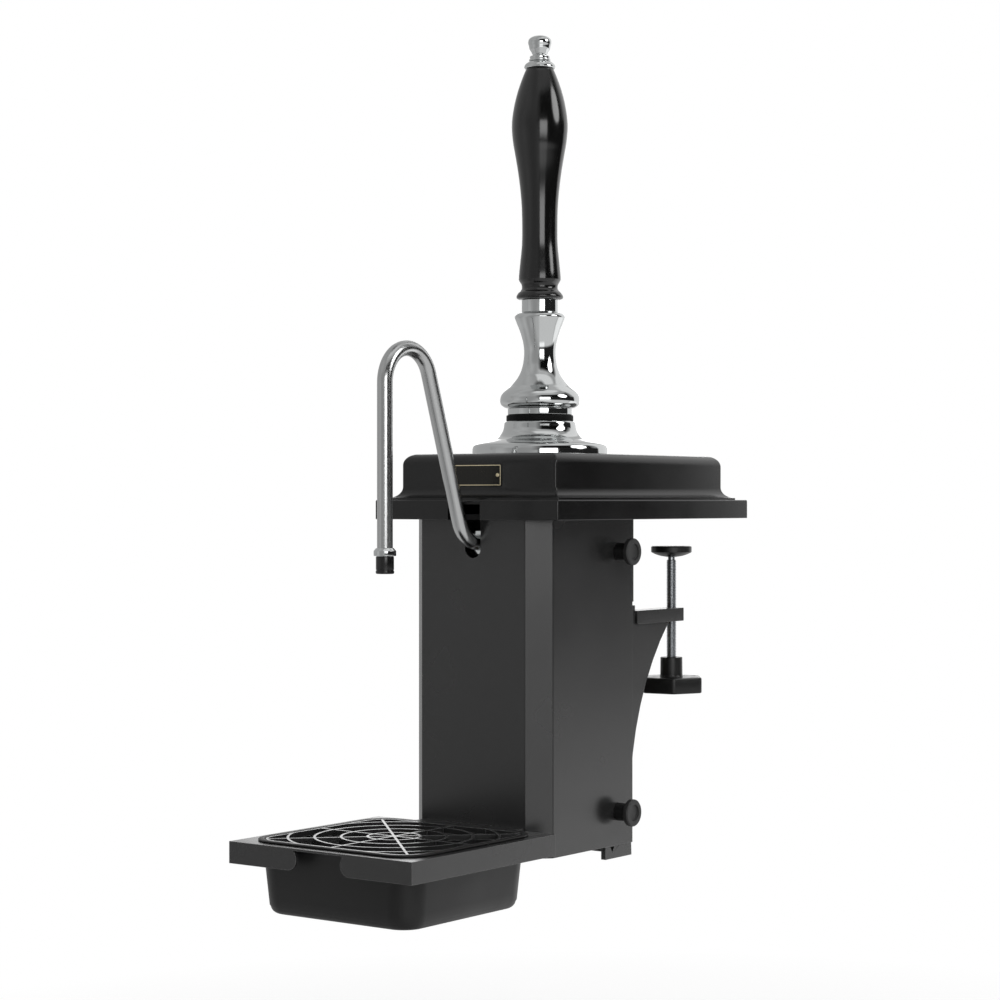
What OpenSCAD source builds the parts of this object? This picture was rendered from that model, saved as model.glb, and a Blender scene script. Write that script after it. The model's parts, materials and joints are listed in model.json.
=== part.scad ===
// Clamp-on beer engine: a hand pump that stands on a bar top, with its case, swan neck and drip tray
// The origin is the centre of the counter seat, +X is to the right, +Y is back over the counter, +Z is up.

/* [Base] */
// Width of the lip that rests on the counter
lip_w = 212.8; // [208:0.4:230]
// Length of the lip from front to back
lip_d = 331.5; // [328:0.5:345]
// Thickness of the lip
lip_t = 18.2; // [17:0.2:24]
// How far the lip reaches back over the counter
seat_d = 162.7; // [150:0.1:165]
// Height of the hood above the lip
hood_h = 43.5; // [40:0.5:50]
// Margin of the lip beside the hood
hood_side = 16.7; // [14:0.1:20]
// Margin of the lip in front of the hood
hood_front = 20.4; // [16:0.1:24]
// Margin of the lip behind the hood
hood_rear = 23.4; // [16:0.1:26]
// Radius of the hood's top edge
hood_edge_r = 10.5; // [4:0.5:14]
// Radius of the hollow sweep at the hood's foot
hood_foot_r = 10.5; // [5:0.5:12]
// Wall of the moulding
moulding_t = 4; // [3:0.5:5]
// Width of the notch in front of the lip
notch_w = 37; // [24:1:44]
// Thickness of the steel mounting plate
plate_t = 5; // [4:0.5:6]

/* [Name plate] */
// Width of the name plate
badge_w = 57; // [40:1:80]
// Height of the name plate
badge_h = 20; // [14:1:24]
// Height of the name plate's centre above the lip
badge_z = 23; // [22:0.5:25]
// Thickness of the name plate
badge_t = 1.2; // [0.8:0.1:2]

/* [Case] */
// Width of the case
case_w = 157; // [152:1:166]
// Setback of the case's front behind the lip's front
case_set = 13.4; // [10:0.1:16]
// Height of the front cover
case_h = 309.4; // [290:0.2:330]
// Width of the bevels along the front corners, measured along one side
bevel = 18.6; // [8:0.2:24]
// Thickness of the cover's sheet
cover_t = 2; // [1.5:0.5:2.5]
// Width of the slot that the neck passes
slot_w = 18.5; // [16:0.5:24]
// Depth of the slot below the lip
slot_d = 35.7; // [33:0.1:42]
// How far the cover ends in front of the bracket plates' rear edges
cover_short = 5.4; // [4:0.1:8]
// Thickness of the bracket plates
bracket_t = 5; // [4:0.5:6]
// Height of the foot of the bracket plates below the cover
foot_h = 12.4; // [8:0.2:20]
// Depth of the foot from front to back
foot_d = 45; // [30:1:60]
// Distance of the gussets' hollow rear edge in front of the arms' ends
gusset_set = 23.7; // [20:0.1:30]

/* [Cover knobs] */
// Diameter of the cover knobs
knob_d = 25.6; // [20:0.2:30]
// Reach of the cover knobs from the cover
knob_l = 18; // [14:0.5:24]
// Depth of the upper knobs below the lip
knob_upper_z = 30.8; // [28:0.2:34]
// Height of the lower knobs above the cover's bottom edge
knob_lower_z = 31.6; // [26:0.2:40]
// Distance of the knobs in front of the bracket plates' rear edges
knob_in = 29.4; // [27:0.2:34]

/* [Clamps] */
// Width of the clamp arms
arm_w = 18; // [16:0.5:22]
// Height of the clamp arms
arm_t = 12.9; // [10:0.1:16]
// Reach of the clamp arms behind the bracket plates
arm_reach = 86.6; // [80:0.2:95]
// Depth of the arms' top below the lip
arm_z = 88.2; // [84:0.2:100]
// Distance of the clamp screws from the arms' rear ends
screw_in = 9; // [8:0.5:14]
// Diameter of the clamp screws
screw_d = 10; // [8:1:12]
// Length of the threaded rod between the pad and the hub
screw_l = 96; // [90:1:120]
// Diameter of the clamp pads
pad_d = 40; // [30:1:50]
// Thickness of the counter that the pads grip in the stored pose
counter_t = 27.3; // [20:0.1:29]
// Width of the clamp knobs across their corners
grip_knob_d = 65; // [50:1:70]
// Height of the clamp knobs
grip_knob_h = 15.3; // [10:0.1:20]

/* [Swan neck] */
// Outer diameter of the neck's tube
tube_d = 14; // [12:0.5:15]
// Wall of the neck's tube
tube_t = 1; // [0.8:0.1:1.5]
// Distance of the spout in front of the lip
spout_reach = 114.4; // [108:0.2:120]
// Height of the arch's centre above the lip
arch_z = 104; // [90:1:120]
// Radius of the arch along the tube's centre
arch_r = 32; // [26:1:36]
// Lean of the rear leg from upright, in degrees
leg_lean = 18.7; // [17:0.1:20]
// Radius of the lower bend along the tube's centre
bend_r = 28; // [24:1:30]
// Depth of the tail's centre below the lip
tail_z = 21.3; // [19:0.1:23]
// Depth of the spout's end below the top of the lip
spout_drop = 49.5; // [40:0.5:60]
// Length of the sparkler
sparkler_l = 15.5; // [12:0.5:20]
// Diameter of the sparkler
sparkler_d = 16.4; // [15.6:0.2:20]

/* [Handle] */
// Distance of the handle's axis behind the lip's front
handle_set = 120.3; // [118:0.1:122]
// Diameter of the domed flange
dome_d = 130.4; // [120:0.4:140]
// Height of the domed flange
dome_h = 32; // [28:0.5:36]
// Height of the rubber buffer ring
ring_h = 6.1; // [5:0.1:8]
// Diameter of the collar
collar_d = 62; // [60:1:64]
// Height of the collar
collar_h = 6.1; // [5:0.1:8]
// Height of the bell
bell_h = 92.5; // [85:0.5:100]
// Largest diameter of the bell
bell_d = 76.8; // [72:0.4:82]
// Height of the ferrule
ferrule_h = 12.1; // [8:0.1:16]
// Diameter of the ferrule
ferrule_d = 34.9; // [30:0.1:38]
// Height of the grip
grip_h = 222.4; // [200:0.4:240]
// Largest diameter of the grip
grip_d = 54; // [48:0.5:60]
// Height of the finial
finial_h = 32; // [28:0.5:36]
// Largest diameter of the finial
finial_d = 30; // [26:0.5:34]
// Diameter of the rod inside the handle
lever_rod_d = 10; // [8:1:12]
// Travel of the handle, in degrees
handle_travel = 65; // [60:1:66]

/* [Pump] */
// Bore of the cylinder
bore_d = 68; // [60:1:69]
// Wall of the cylinder
cylinder_t = 2.5; // [2:0.5:3]
// Width of the cylinder's square end caps
cap_w = 76; // [75:0.5:77]
// Height of the top cap
top_cap_h = 20; // [19:0.5:22]
// Distance of the top cap below the lip
top_cap_z = 11.8; // [11:0.1:13]
// Height of the bottom cap
bottom_cap_h = 28; // [27:0.5:32]
// Height of the piston
piston_h = 16; // [14:0.5:20]
// Diameter of the piston rod
piston_rod_d = 8; // [7:0.5:10]
// Depth of the fork pin below the collar
pin_drop = 19.75; // [19:0.05:20]
// Diameter of the fork pin
pin_d = 8; // [7:0.5:9]

/* [Drip tray] */
// Width of the tray frame
tray_w = 206; // [200:1:220]
// Length of the tray frame
tray_d = 206; // [200:1:220]
// Height of the tray's top above the cover's bottom edge
tray_rise = 27.6; // [24:0.2:40]
// Depth of the frame's sides
tray_side_h = 19.4; // [16:0.2:24]
// Thickness of the frame's sheet
tray_t = 2; // [1.5:0.5:2.5]
// Width of the finger gap in the frame's front
finger_w = 49.2; // [40:0.4:70]
// Margin of the frame beside the tub
tub_margin = 13; // [11:0.5:18]
// How much narrower the tub is at its bottom
tub_taper = 6.4; // [4:0.2:10]
// Depth of the tub below the tray's top
tub_h = 64; // [50:1:75]
// Radius of the tub's upright corners
tub_r = 26; // [20:1:32]
// Wall of the tub
tub_t = 2; // [1.5:0.5:3]
// Radius of the tub's bottom edge
tub_edge_r = 9; // [5:0.5:12]
// Height of the grid
grid_h = 5; // [4:0.5:7]
// Spacing of the grid's rings
ring_step = 23.5; // [20:0.5:28]
// Width of the grid's bars
bar_w = 2.2; // [1.8:0.1:3]

/* [Hidden] */
$fn = 72;

// Clearances and overruns that many pieces share
fit = 0.05;
seat_gap = 0.3;
over = 1;

// Base, derived
seat_y = -seat_d / 2;
lip_front = seat_d / 2 - lip_d;
lip_rear = seat_d / 2;
hood_top = lip_t + hood_h;
hood_w = lip_w - 2 * hood_side;
hood_y0 = lip_front + hood_front;
hood_y1 = lip_rear - hood_rear;
hood_step = 2;
lip_wall = 8;
lip_corner_r = 2;
arc_steps = 8;
plate_inset = lip_wall + seat_gap;
base_screw_r = 2;
base_screw_head_r = 4;
base_screw_head_h = 2.5;
base_post_r = 6;
base_screw_x = lip_w / 2 - lip_wall - base_post_r - over;
base_screw_in = 24;
base_screw_ys = [lip_front + base_screw_in, lip_rear - lip_wall - 2 * base_post_r];

// Name plate, derived
badge_border = 1.2;
badge_rise = 0.4;
badge_pin_in = 4.2;
badge_pin_r = 1.2;
badge_pin_head_r = 1.9;

// Case, derived
case_y = lip_front + case_set;
cover_rear = seat_y - cover_short;
bracket_x1 = case_w / 2 - cover_t - seat_gap;
bracket_x0 = bracket_x1 - bracket_t;
bracket_front = case_y + bevel + cover_t + over;
bracket_flange = 25;
bracket_flange_t = 3;
bracket_flange_in = 20;
bracket_flange_rear = seat_y - bracket_flange_in;
relief = 3.5;
relief_h = 8.75;
relief_z = -arm_z + relief_h;
gusset_in = 5.6;
gusset_foot_h = 37.6;
gusset_foot_z = -case_h + gusset_foot_h;
foot_z = -case_h - foot_h;
foot_hole = 7;
foot_hole_in = 11.9;
foot_hole_drop = 2.8;
thread_boss_r = 6;
thread_boss_l = 8;
m6_r = 3;
m6_head_r = 5.8;
m6_head_h = 4;
m6_nut_af = 10;
bracket_bolt_x = bracket_x0 - bracket_flange / 2 + bracket_t / 2;
bracket_bolt_ys = [bracket_front + bracket_flange, bracket_flange_rear - m6_head_r];
back_t = 2;
back_flange = 14;
back_bottom = -arm_z + 2 * back_t;
back_screw_in = 23.2;
back_screw_zs = [-back_screw_in, back_bottom + back_screw_in / 2];
bar_h = 28;
bar_lift = 4;
bar_z = foot_z + bar_lift;
bar_in = 28;
bar_y = seat_y - bar_in;
bar_flange = 16;

// Cover knobs, derived
knob_y = seat_y - knob_in;
knob_zs = [-knob_upper_z, -case_h + knob_lower_z];
knob_head_l = 5.5;
knob_neck_r = 8.5;
knob_recess_r = 7.6;
knob_recess_d = 1.6;

// Clamps, derived
arm_x1 = case_w / 2;
arm_x0 = arm_x1 - arm_w;
arm_front_gap = 3.6;
arm_y0 = seat_y + arm_front_gap;
arm_y1 = seat_y + arm_reach;
arm_tongue_y = knob_y - bracket_flange - 2 * thread_boss_r;
arm_screw_ys = [arm_tongue_y + 2 * m6_head_r, cover_rear - 2 * m6_head_r];
screw_x = arm_x0 + arm_w / 2;
screw_y = arm_y1 - screw_in;
pad_rim = 5.9;
pad_dome = 5;
pad_neck = 2.6;
pad_neck_r = 3.4;
screw_top = -counter_t - pad_rim - pad_dome - pad_neck;
screw_tip = 4;
hub_r = 11;
hub_h = 19.4;
hub_z = screw_top - screw_l;
hub_socket = 12;
knob_turn = -83;
grip_knob_corner_r = 5;

// Swan neck, derived from its straight stretches and the tangent points between them
tube_r = tube_d / 2;
spout_y = lip_front - spout_reach;
arch_y = spout_y + arch_r;
arch_cz = lip_t + arch_z;
spout_end = lip_t - spout_drop;
lean_out = [cos(leg_lean), sin(leg_lean)];
lean_down = [sin(leg_lean), -cos(leg_lean)];
leg_top = [arch_y, arch_cz] + arch_r * lean_out;
bend_cz = -tail_z + bend_r;
bend_cy = ([leg_top[0], leg_top[1]] * lean_out + bend_r - bend_cz * lean_out[1]) / lean_out[0];
leg_end = [bend_cy, bend_cz] - bend_r * lean_out;
leg_l = norm(leg_end - leg_top);
knit = 0.5;
tail_end = case_y + slot_w;
spout_collar_r = 10;
spout_collar_h = 7.1;
sparkler_grip = 3.5;
sparkler_floor = 4;
sparkler_hole_r = 2.3;
spout_tip = spout_end - sparkler_grip;
nut_af = 22;
nut_l = 20;

// Handle, derived
axis_y = lip_front + handle_set;
dome_r = dome_d / 2;
neck_opening_r = 28;
dome_top = hood_top + dome_h;
collar_z = dome_top + ring_h + seat_gap;
bell_z = collar_z + collar_h;
ferrule_z = bell_z + bell_h;
grip_z = ferrule_z + ferrule_h;
finial_z = grip_z + grip_h;
lever_r = lever_rod_d / 2;
lever_end_share = 0.45;
lever_end = finial_z + finial_h * lever_end_share;
pivot_y = axis_y - collar_d / 2;
ring_edge_share = 0.2;
stud_circle_r = 50;
stud_r = 2.5;
stud_nut_h = 4;
stud_nut_af = 8;
dome_pocket_r = 58;
dome_pocket_h = 5;
curve_steps = 5;

// Fork and crosshead, derived from the pin's swing about the pivot
pin_r = pin_d / 2;
pin_z = collar_z - pin_drop;
pin_swing = norm([collar_d / 2, pin_drop]);
pin_low = atan2(-pin_drop, collar_d / 2);
pin_angles = [for (i = [0 : arc_steps]) pin_low + handle_travel * i / arc_steps];
pin_reach = [for (a = pin_angles) pin_swing * cos(a)];
pump_y = pivot_y + (min(pin_reach) + max(pin_reach)) / 2;
slot_half = (max(pin_reach) - min(pin_reach)) / 2 + seat_gap;
stroke = pin_swing * (sin(pin_low + handle_travel) - sin(pin_low));
pin_slot_gap = 0.75;
slot_r = pin_r + pin_slot_gap;
crosshead_wall = 3.35;
crosshead_x = 7.5;
crosshead_stem_r = 6.5;
crosshead_stem_l = 14;
cheek_gap = 0.5;
cheek_t = 4.5;
cheek_r = 7;
fork_head_r = 14;
fork_head_rise = 12.6;
fork_head_z = pin_z + fork_head_rise;
pin_head_h = 1.5;

// Pump, derived
cylinder_r = bore_d / 2;
spigot_l = 5;
top_gap = 10;
bottom_gap = 3;
cap_top = -top_cap_z;
tube_top = cap_top - top_cap_h;
piston_top = tube_top - spigot_l - top_gap - stroke;
piston_bottom = piston_top - piston_h;
tube_bottom = piston_bottom - bottom_gap - spigot_l;
cap_bottom = tube_bottom - bottom_cap_h;
cap_corner_r = 6;
tie_in = 7;
tie_x = cap_w / 2 - tie_in;
tie_nut_h = 4.5;
back_y = pump_y + cap_w / 2 + seat_gap + back_t;
tie_spacer_r = 6;
rod_r = piston_rod_d / 2;
spigot_r = cylinder_r - fit;
seal_r = 1.2;
seal_groove = 2.6;
gland_h = 7;
gland_af = 20;
rod_hole_r = 12;
piston_gap = 0.4;
piston_r = cylinder_r - piston_gap;
piston_seal_r = 1.8;
piston_groove = 4;
piston_nut_af = 9.4;
piston_nut_h = 5;
piston_recess_r = 8;
piston_port_r = 4;
piston_port_ring = 15;
valve_r = 22;
valve_t = 2;
valve_lift = 2;
stop_r = 9;
stop_t = 2;
chamber_r = 9;
inlet_seat_r = 5.5;
ball_r = 7.5;
ball_lift = 3;
cage_t = 2;
cage_hole_r = 2.2;
cage_ring = 5.3;
chamber_floor = tube_bottom + spigot_l - cage_t - ball_lift - over - ball_r
    - sqrt(ball_r * ball_r - inlet_seat_r * inlet_seat_r) - seat_gap;
barb_socket_r = 8;
barb_socket_l = 10;
barb_flange_h = 7;
barb_flange_af = 22;
barb_r = 6.9;
barb_bore_r = 4.5;
barb_inner_r = 5;
barb_tooth = 8;
barb_step = 1;
barb_teeth = 4;
barb_l = barb_flange_h + barb_teeth * barb_tooth;
port_r = 5;
port_in = 20;
pipe_depth = 12;

// Tray, derived
tray_z = case_h - tray_rise;
tub_w = tray_w - 2 * tub_margin;
tub_l = tray_d - 2 * tub_margin;
tray_lap = 1.4;
tray_y1 = lip_front + tray_lap;
tray_y0 = tray_y1 - tray_d;
tray_cy = (tray_y0 + tray_y1) / 2;
tray_tongue_w = case_w - 2 * bevel - 2 * over;
tray_tab_h = 21;
tray_screw_in = 17.4;
tray_screw_x = tray_tongue_w / 2 - tray_screw_in;
tray_screw_z = -tray_z - tray_tab_h / 2;
tub_gap = 0.5;
tub_rim_w = 3;
tub_rim_t = 1.5;
grid_gap = 0.6;
grid_ledge_w = 20;
grid_ledge_t = 3;
hub_disc_r = 4;
ring_count = 4;
spoke_count = 8;
hull_fn = 32;

// Box between two opposite corners
module block(low, high) {
    translate(low)
        cube(high - low);
}

// Round bars along each axis
module rod_x(r, x0, x1, y, z) {
    translate([x0, y, z])
        rotate([0, 90, 0])
            cylinder(r = r, h = x1 - x0);
}

module rod_y(r, y0, y1, x, z) {
    translate([x, y0, z])
        rotate([-90, 0, 0])
            cylinder(r = r, h = y1 - y0);
}

module rod_z(r, z0, z1, x = 0, y = 0) {
    translate([x, y, z0])
        cylinder(r = r, h = z1 - z0);
}

// Hexagon bar along Z, sized across its flats
module hex_bar(af, h) {
    cylinder(d = af / cos(30), h = h, $fn = 6);
}

// Copies its children at the left as a mirror image too
module both_sides() {
    children();
    mirror([1, 0, 0])
        children();
}

// Rectangle with round corners, centred
module round_rectangle(w, l, r) {
    square([w, l - 2 * r], center = true);
    square([w - 2 * r, l], center = true);
    for (x = [r - w / 2, w / 2 - r], y = [r - l / 2, l / 2 - r])
        translate([x, y])
            circle(r);
}

// Points along an arc
function arc(centre, r, a0, a1) =
    [for (i = [0 : arc_steps]) let (a = a0 + (a1 - a0) * i / arc_steps) centre + r * [cos(a), sin(a)]];

// Smooth curve through points
function blend(a, b, c, d, t) =
    b + ((c - a) * t + (2 * a - 5 * b + 4 * c - d) * t * t + (3 * b - a - 3 * c + d) * t * t * t) / 2;
function curve(p) = len(p) < 3 ? p : concat(
    [for (i = [0 : len(p) - 2], k = [0 : curve_steps - 1])
        blend(p[max(i - 1, 0)], p[i], p[i + 1], p[min(i + 2, len(p) - 1)], k / curve_steps)],
    [p[len(p) - 1]]);

// Turned body from stretches of [height share, radius share] with a bore through it
module turned(stretches, h, r, bore = 0) {
    line = [for (s = stretches) each curve(s)];
    rotate_extrude()
        polygon(concat([[bore, 0]], [for (p = line) [p[1] * r, p[0] * h]], [[bore, h]]));
}

// Base moulding: lip, hollow sweep and hood, with mitred corners
function hood_side_line(half) = concat(
    [[half + hood_foot_r, lip_t], [half + hood_foot_r, lip_t + hood_step]],
    [for (p = arc([half + hood_foot_r, lip_t + hood_step + hood_foot_r], hood_foot_r, 270, 180)) p],
    [for (p = arc([half - hood_edge_r, hood_top - hood_edge_r], hood_edge_r, 0, 90)) p]);

module hood_section(half, length) {
    line = hood_side_line(half);
    rotate([90, 0, 0])
        linear_extrude(length, center = true)
            polygon(concat(line, [for (i = [len(line) - 1 : -1 : 0]) [-line[i][0], line[i][1]]]));
}

module hood() {
    hood_d = hood_y1 - hood_y0;
    translate([0, (hood_y0 + hood_y1) / 2, 0])
        intersection() {
            hood_section(hood_w / 2, lip_d);
            rotate([0, 0, 90])
                hood_section(hood_d / 2, lip_w);
        }
}

module lip() {
    w = lip_w / 2;
    linear_extrude(lip_t) {
        for (in = [[0, lip_corner_r], [lip_corner_r, 0]])
            polygon([[-w + in[0], lip_front + in[1]], [w - in[0], lip_front + in[1]],
                     [w - in[0], lip_rear - in[1]], [-w + in[0], lip_rear - in[1]]]);
        for (x = [-w + lip_corner_r, w - lip_corner_r],
             y = [lip_front + lip_corner_r, lip_rear - lip_corner_r])
            translate([x, y])
                circle(lip_corner_r);
    }
}

module base_moulding() {
    low_x = lip_w / 2 - lip_wall;
    high_x = hood_w / 2 - moulding_t;
    color("#262626") {
        difference() {
            union() {
                lip();
                hood();
            }
            block([-low_x, lip_front + lip_wall, -over], [low_x, lip_rear - lip_wall, lip_t - moulding_t]);
            block([-high_x, hood_y0 + moulding_t, 0], [high_x, hood_y1 - moulding_t, hood_top - moulding_t]);
            block([-notch_w / 2, lip_front - over, -over], [notch_w / 2, case_y, lip_t - moulding_t / 2]);
            rod_z(neck_opening_r + over, hood_top - 2 * moulding_t, hood_top + over, 0, axis_y);
            stud_places()
                rod_z(stud_r + fit, hood_top - 2 * moulding_t, hood_top + over);
            badge_pin_places()
                rod_y(badge_pin_r + fit, hood_y0 - over, hood_y0 + moulding_t + over, 0, 0);
        }
        base_screw_places()
            difference() {
                rod_z(base_post_r, plate_t, lip_t - moulding_t / 2);
                rod_z(base_screw_r + fit, plate_t - over, lip_t - moulding_t + over);
            }
    }
}

module base_screw_places() {
    for (x = [-base_screw_x, base_screw_x], y = base_screw_ys)
        translate([x, y, 0])
            children();
}

module plate_holes() {
    rod_z(rod_hole_r, -over, plate_t + over, 0, pump_y);
    tie_places()
        rod_z(m6_r + fit, -over, plate_t + over);
    bracket_bolt_places()
        rod_z(m6_r + fit, -over, plate_t + over);
    base_screw_places() {
        rod_z(base_screw_r + fit, -over, plate_t + over);
        rod_z(base_screw_head_r + fit, -over, base_screw_head_h);
    }
}

module mounting_plate() {
    x = lip_w / 2 - plate_inset;
    color("#8f9296")
        difference() {
            block([-x, lip_front + plate_inset, 0], [x, lip_rear - plate_inset, plate_t]);
            block([-notch_w / 2, lip_front, -over], [notch_w / 2, case_y, plate_t + over]);
            // A fine groove marks the counter's front edge, where the seat begins
            block([-x - over, seat_y, -over], [x + over, seat_y + seat_gap, seat_gap]);
            plate_holes();
        }
}

module base_screws() {
    color("silver")
        base_screw_places() {
            rod_z(base_screw_head_r, 0, base_screw_head_h);
            rod_z(base_screw_r, base_screw_head_h, lip_t - moulding_t);
        }
}

// Name plate with a raised border and two pins
module badge_pin_places() {
    for (x = [-1, 1] * (badge_w / 2 - badge_pin_in))
        translate([x, 0, lip_t + badge_z])
            children();
}

module name_plate() {
    z = lip_t + badge_z;
    y = hood_y0 - badge_t;
    border = [badge_border, 0, badge_border];
    low = [-badge_w / 2, y, z - badge_h / 2];
    high = [badge_w / 2, hood_y0, z + badge_h / 2];
    color("#15130f")
        difference() {
            block(low, high);
            block(low + border - [0, over, 0], high - border - [0, badge_t - badge_rise, 0]);
            badge_pin_places()
                rod_y(badge_pin_r + fit, y - over, hood_y0 + over, 0, 0);
        }
}

module name_plate_pins() {
    color("#d9c9a0")
        badge_pin_places() {
            rod_y(badge_pin_r, hood_y0 - badge_t + badge_rise, hood_y0 + moulding_t, 0, 0);
            rod_y(badge_pin_head_r, hood_y0 - badge_t - badge_rise, hood_y0 - badge_t + badge_rise, 0, 0);
        }
}

// Domed flange under the handle: its outline from the hood up to the rubber ring
dome_rim_share = [[0, 1], [0.17, 1]];
dome_slope_share = [[0.17, 1], [0.265, 0.982], [0.33, 0.93], [0.403, 0.8], [0.453, 0.707], [0.516, 0.64],
    [0.578, 0.598], [0.64, 0.577], [0.703, 0.549], [0.797, 0.537], [0.95, 0.525], [1, 0.509]];

module dome_flange() {
    color("#c9cccf")
        translate([0, axis_y, hood_top])
            difference() {
                turned([dome_rim_share, dome_slope_share], dome_h, dome_r, neck_opening_r);
                difference() {
                    rod_z(dome_pocket_r, -over, dome_pocket_h);
                    rod_z(neck_opening_r + moulding_t, -2 * over, dome_pocket_h + over);
                }
            }
}

module stud_places() {
    for (a = [30 : 120 : 270])
        translate([stud_circle_r * cos(a), axis_y + stud_circle_r * sin(a), 0])
            children();
}

module dome_studs() {
    low = hood_top - moulding_t;
    color("silver")
        stud_places() {
            rod_z(stud_r, low - stud_nut_h, hood_top + dome_pocket_h);
            translate([0, 0, low - stud_nut_h])
                hex_bar(stud_nut_af, stud_nut_h);
        }
}

module buffer_ring() {
    edge = ring_h * ring_edge_share;
    color("#151515")
        translate([0, axis_y, dome_top])
            rotate_extrude()
                polygon([[neck_opening_r - edge, 0], [collar_d / 2, 0], [collar_d / 2 + edge, edge],
                         [collar_d / 2 + edge, ring_h - edge], [collar_d / 2, ring_h],
                         [neck_opening_r - edge, ring_h]]);
}

// Case: the bent front cover, the two bracket plates and what ties them
function case_outline(in) =
    let (x = case_w / 2 - in, y = case_y + in, leg = bevel - in * (2 - sqrt(2)))
    [[-x, cover_rear + in * over], [-x, y + leg], [-x + leg, y], [x - leg, y], [x, y + leg],
     [x, cover_rear + in * over]];

module front_cover() {
    color("#303030")
        difference() {
            translate([0, 0, -case_h])
                linear_extrude(case_h)
                    difference() {
                        polygon(case_outline(0));
                        polygon(case_outline(cover_t));
                    }
            block([-slot_w / 2, case_y - over, -slot_d + slot_w / 2],
                  [slot_w / 2, case_y + cover_t + over, over]);
            rod_y(slot_w / 2, case_y - over, case_y + cover_t + over, 0, -slot_d + slot_w / 2);
            both_sides()
                for (z = knob_zs)
                    rod_x(m6_r + 2 * seat_gap, bracket_x1, case_w / 2 + over, knob_y, z);
            tray_screw_places()
                rod_y(m6_r + fit, case_y - over, case_y + cover_t + over, 0, 0);
        }
}

// Outline of a bracket plate seen from the side, as Y and Z
gusset_rise = -arm_z - arm_t - gusset_foot_z;
gusset_run = arm_reach - gusset_set + gusset_in;
gusset_r = (gusset_run * gusset_run + gusset_rise * gusset_rise) / (2 * gusset_run);
gusset_cy = seat_y - gusset_in + gusset_r;
gusset_top_a = asin(gusset_rise / gusset_r);

function bracket_outline() = concat(
    [[bracket_front, 0], [seat_y, 0], [seat_y, relief_z], [seat_y - relief, relief_z],
     [seat_y - relief, relief_z - relief], [seat_y + relief - over, relief_z - relief],
     [seat_y + relief - over, -arm_z - arm_t]],
    arc([gusset_cy, gusset_foot_z], gusset_r, 180 - gusset_top_a, 180),
    [[seat_y - relief, foot_z], [seat_y - relief - foot_d, foot_z], [seat_y - relief - foot_d, -case_h],
     [bracket_front, -case_h]]);

module bracket_plate() {
    x = bracket_x0;
    hole_y = seat_y - relief - foot_d + foot_hole_in;
    difference() {
        union() {
            translate([x, 0, 0])
                rotate([90, 0, 90])
                    linear_extrude(bracket_t)
                        polygon(bracket_outline());
            block([x - bracket_flange + bracket_t, bracket_front, -bracket_flange_t],
                  [x + over, bracket_flange_rear, 0]);
            for (z = knob_zs)
                rod_x(thread_boss_r, x - thread_boss_l, x + over, knob_y, z);
        }
        for (z = knob_zs)
            rod_x(m6_r + fit, x - thread_boss_l - over, bracket_x1 + over, knob_y, z);
        for (y = bracket_bolt_ys)
            rod_z(m6_r + fit, -bracket_flange_t - over, over, bracket_bolt_x, y);
        for (y = arm_screw_ys)
            rod_x(m6_r + fit, x - over, bracket_x1 + over, y, -arm_z - arm_t / 2);
        back_screw_places()
            rod_x(m6_r + fit, x - over, bracket_x1 + over, 0, 0);
        translate([x - over, hole_y, -case_h - foot_hole_drop])
            rotate([0, 90, 0])
                cylinder(d = foot_hole, h = bracket_t + 2 * over, $fn = 3);
    }
}

module bracket_plate_right() {
    color("#3c3c3c")
        bracket_plate();
}

module bracket_plate_left() {
    color("#3c3c3c")
        mirror([1, 0, 0])
            bracket_plate();
}

module bracket_bolt_places() {
    both_sides()
        for (y = bracket_bolt_ys)
            translate([bracket_bolt_x, y, 0])
                children();
}

module bracket_bolts() {
    color("silver")
        bracket_bolt_places() {
            rod_z(m6_r, -bracket_flange_t - m6_head_h, plate_t + m6_head_h + over);
            translate([0, 0, -bracket_flange_t - m6_head_h])
                hex_bar(m6_nut_af, m6_head_h);
            translate([0, 0, plate_t])
                hex_bar(m6_nut_af, m6_head_h);
        }
}

module back_screw_places() {
    for (z = back_screw_zs)
        translate([0, back_y - back_t - m6_head_r - seat_gap, z])
            children();
    translate([0, bar_y + bar_flange / 2, bar_z + bar_h / 2])
        children();
}

module back_screw_holes() {
    both_sides()
        back_screw_places()
            rod_x(m6_r + fit, bracket_x0 - 2 * back_t, bracket_x1 + over, 0, 0);
}

module back_plate() {
    x = bracket_x0;
    color("#2c2c2c")
        difference() {
            union() {
                block([-x, back_y - back_t, back_bottom], [x, back_y, -bracket_flange_t]);
                both_sides()
                    block([x - back_t, back_y - back_flange, back_bottom], [x, back_y, -bracket_flange_t]);
            }
            back_screw_holes();
        }
}

module cross_bar() {
    x = bracket_x0;
    color("#2c2c2c")
        difference() {
            union() {
                block([-x, bar_y, bar_z], [x, bar_y + back_t, bar_z + bar_h]);
                both_sides()
                    block([x - back_t, bar_y, bar_z], [x, bar_y + bar_flange, bar_z + bar_h]);
            }
            back_screw_holes();
        }
}

// Screws from the inside: one group ties the back plate and the cross bar, the other the clamp arms
module bracket_screws() {
    head = bracket_x0 - back_t;
    color("silver")
        both_sides() {
            back_screw_places() {
                rod_x(m6_r, head, bracket_x1, 0, 0);
                rod_x(m6_head_r, head - m6_head_h / 2, head, 0, 0);
            }
            for (y = arm_screw_ys) {
                rod_x(m6_r, arm_x0, bracket_x1, y, -arm_z - arm_t / 2);
                rod_x(m6_head_r, arm_x0 - m6_head_h, arm_x0, y, -arm_z - arm_t / 2);
            }
        }
}

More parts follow.
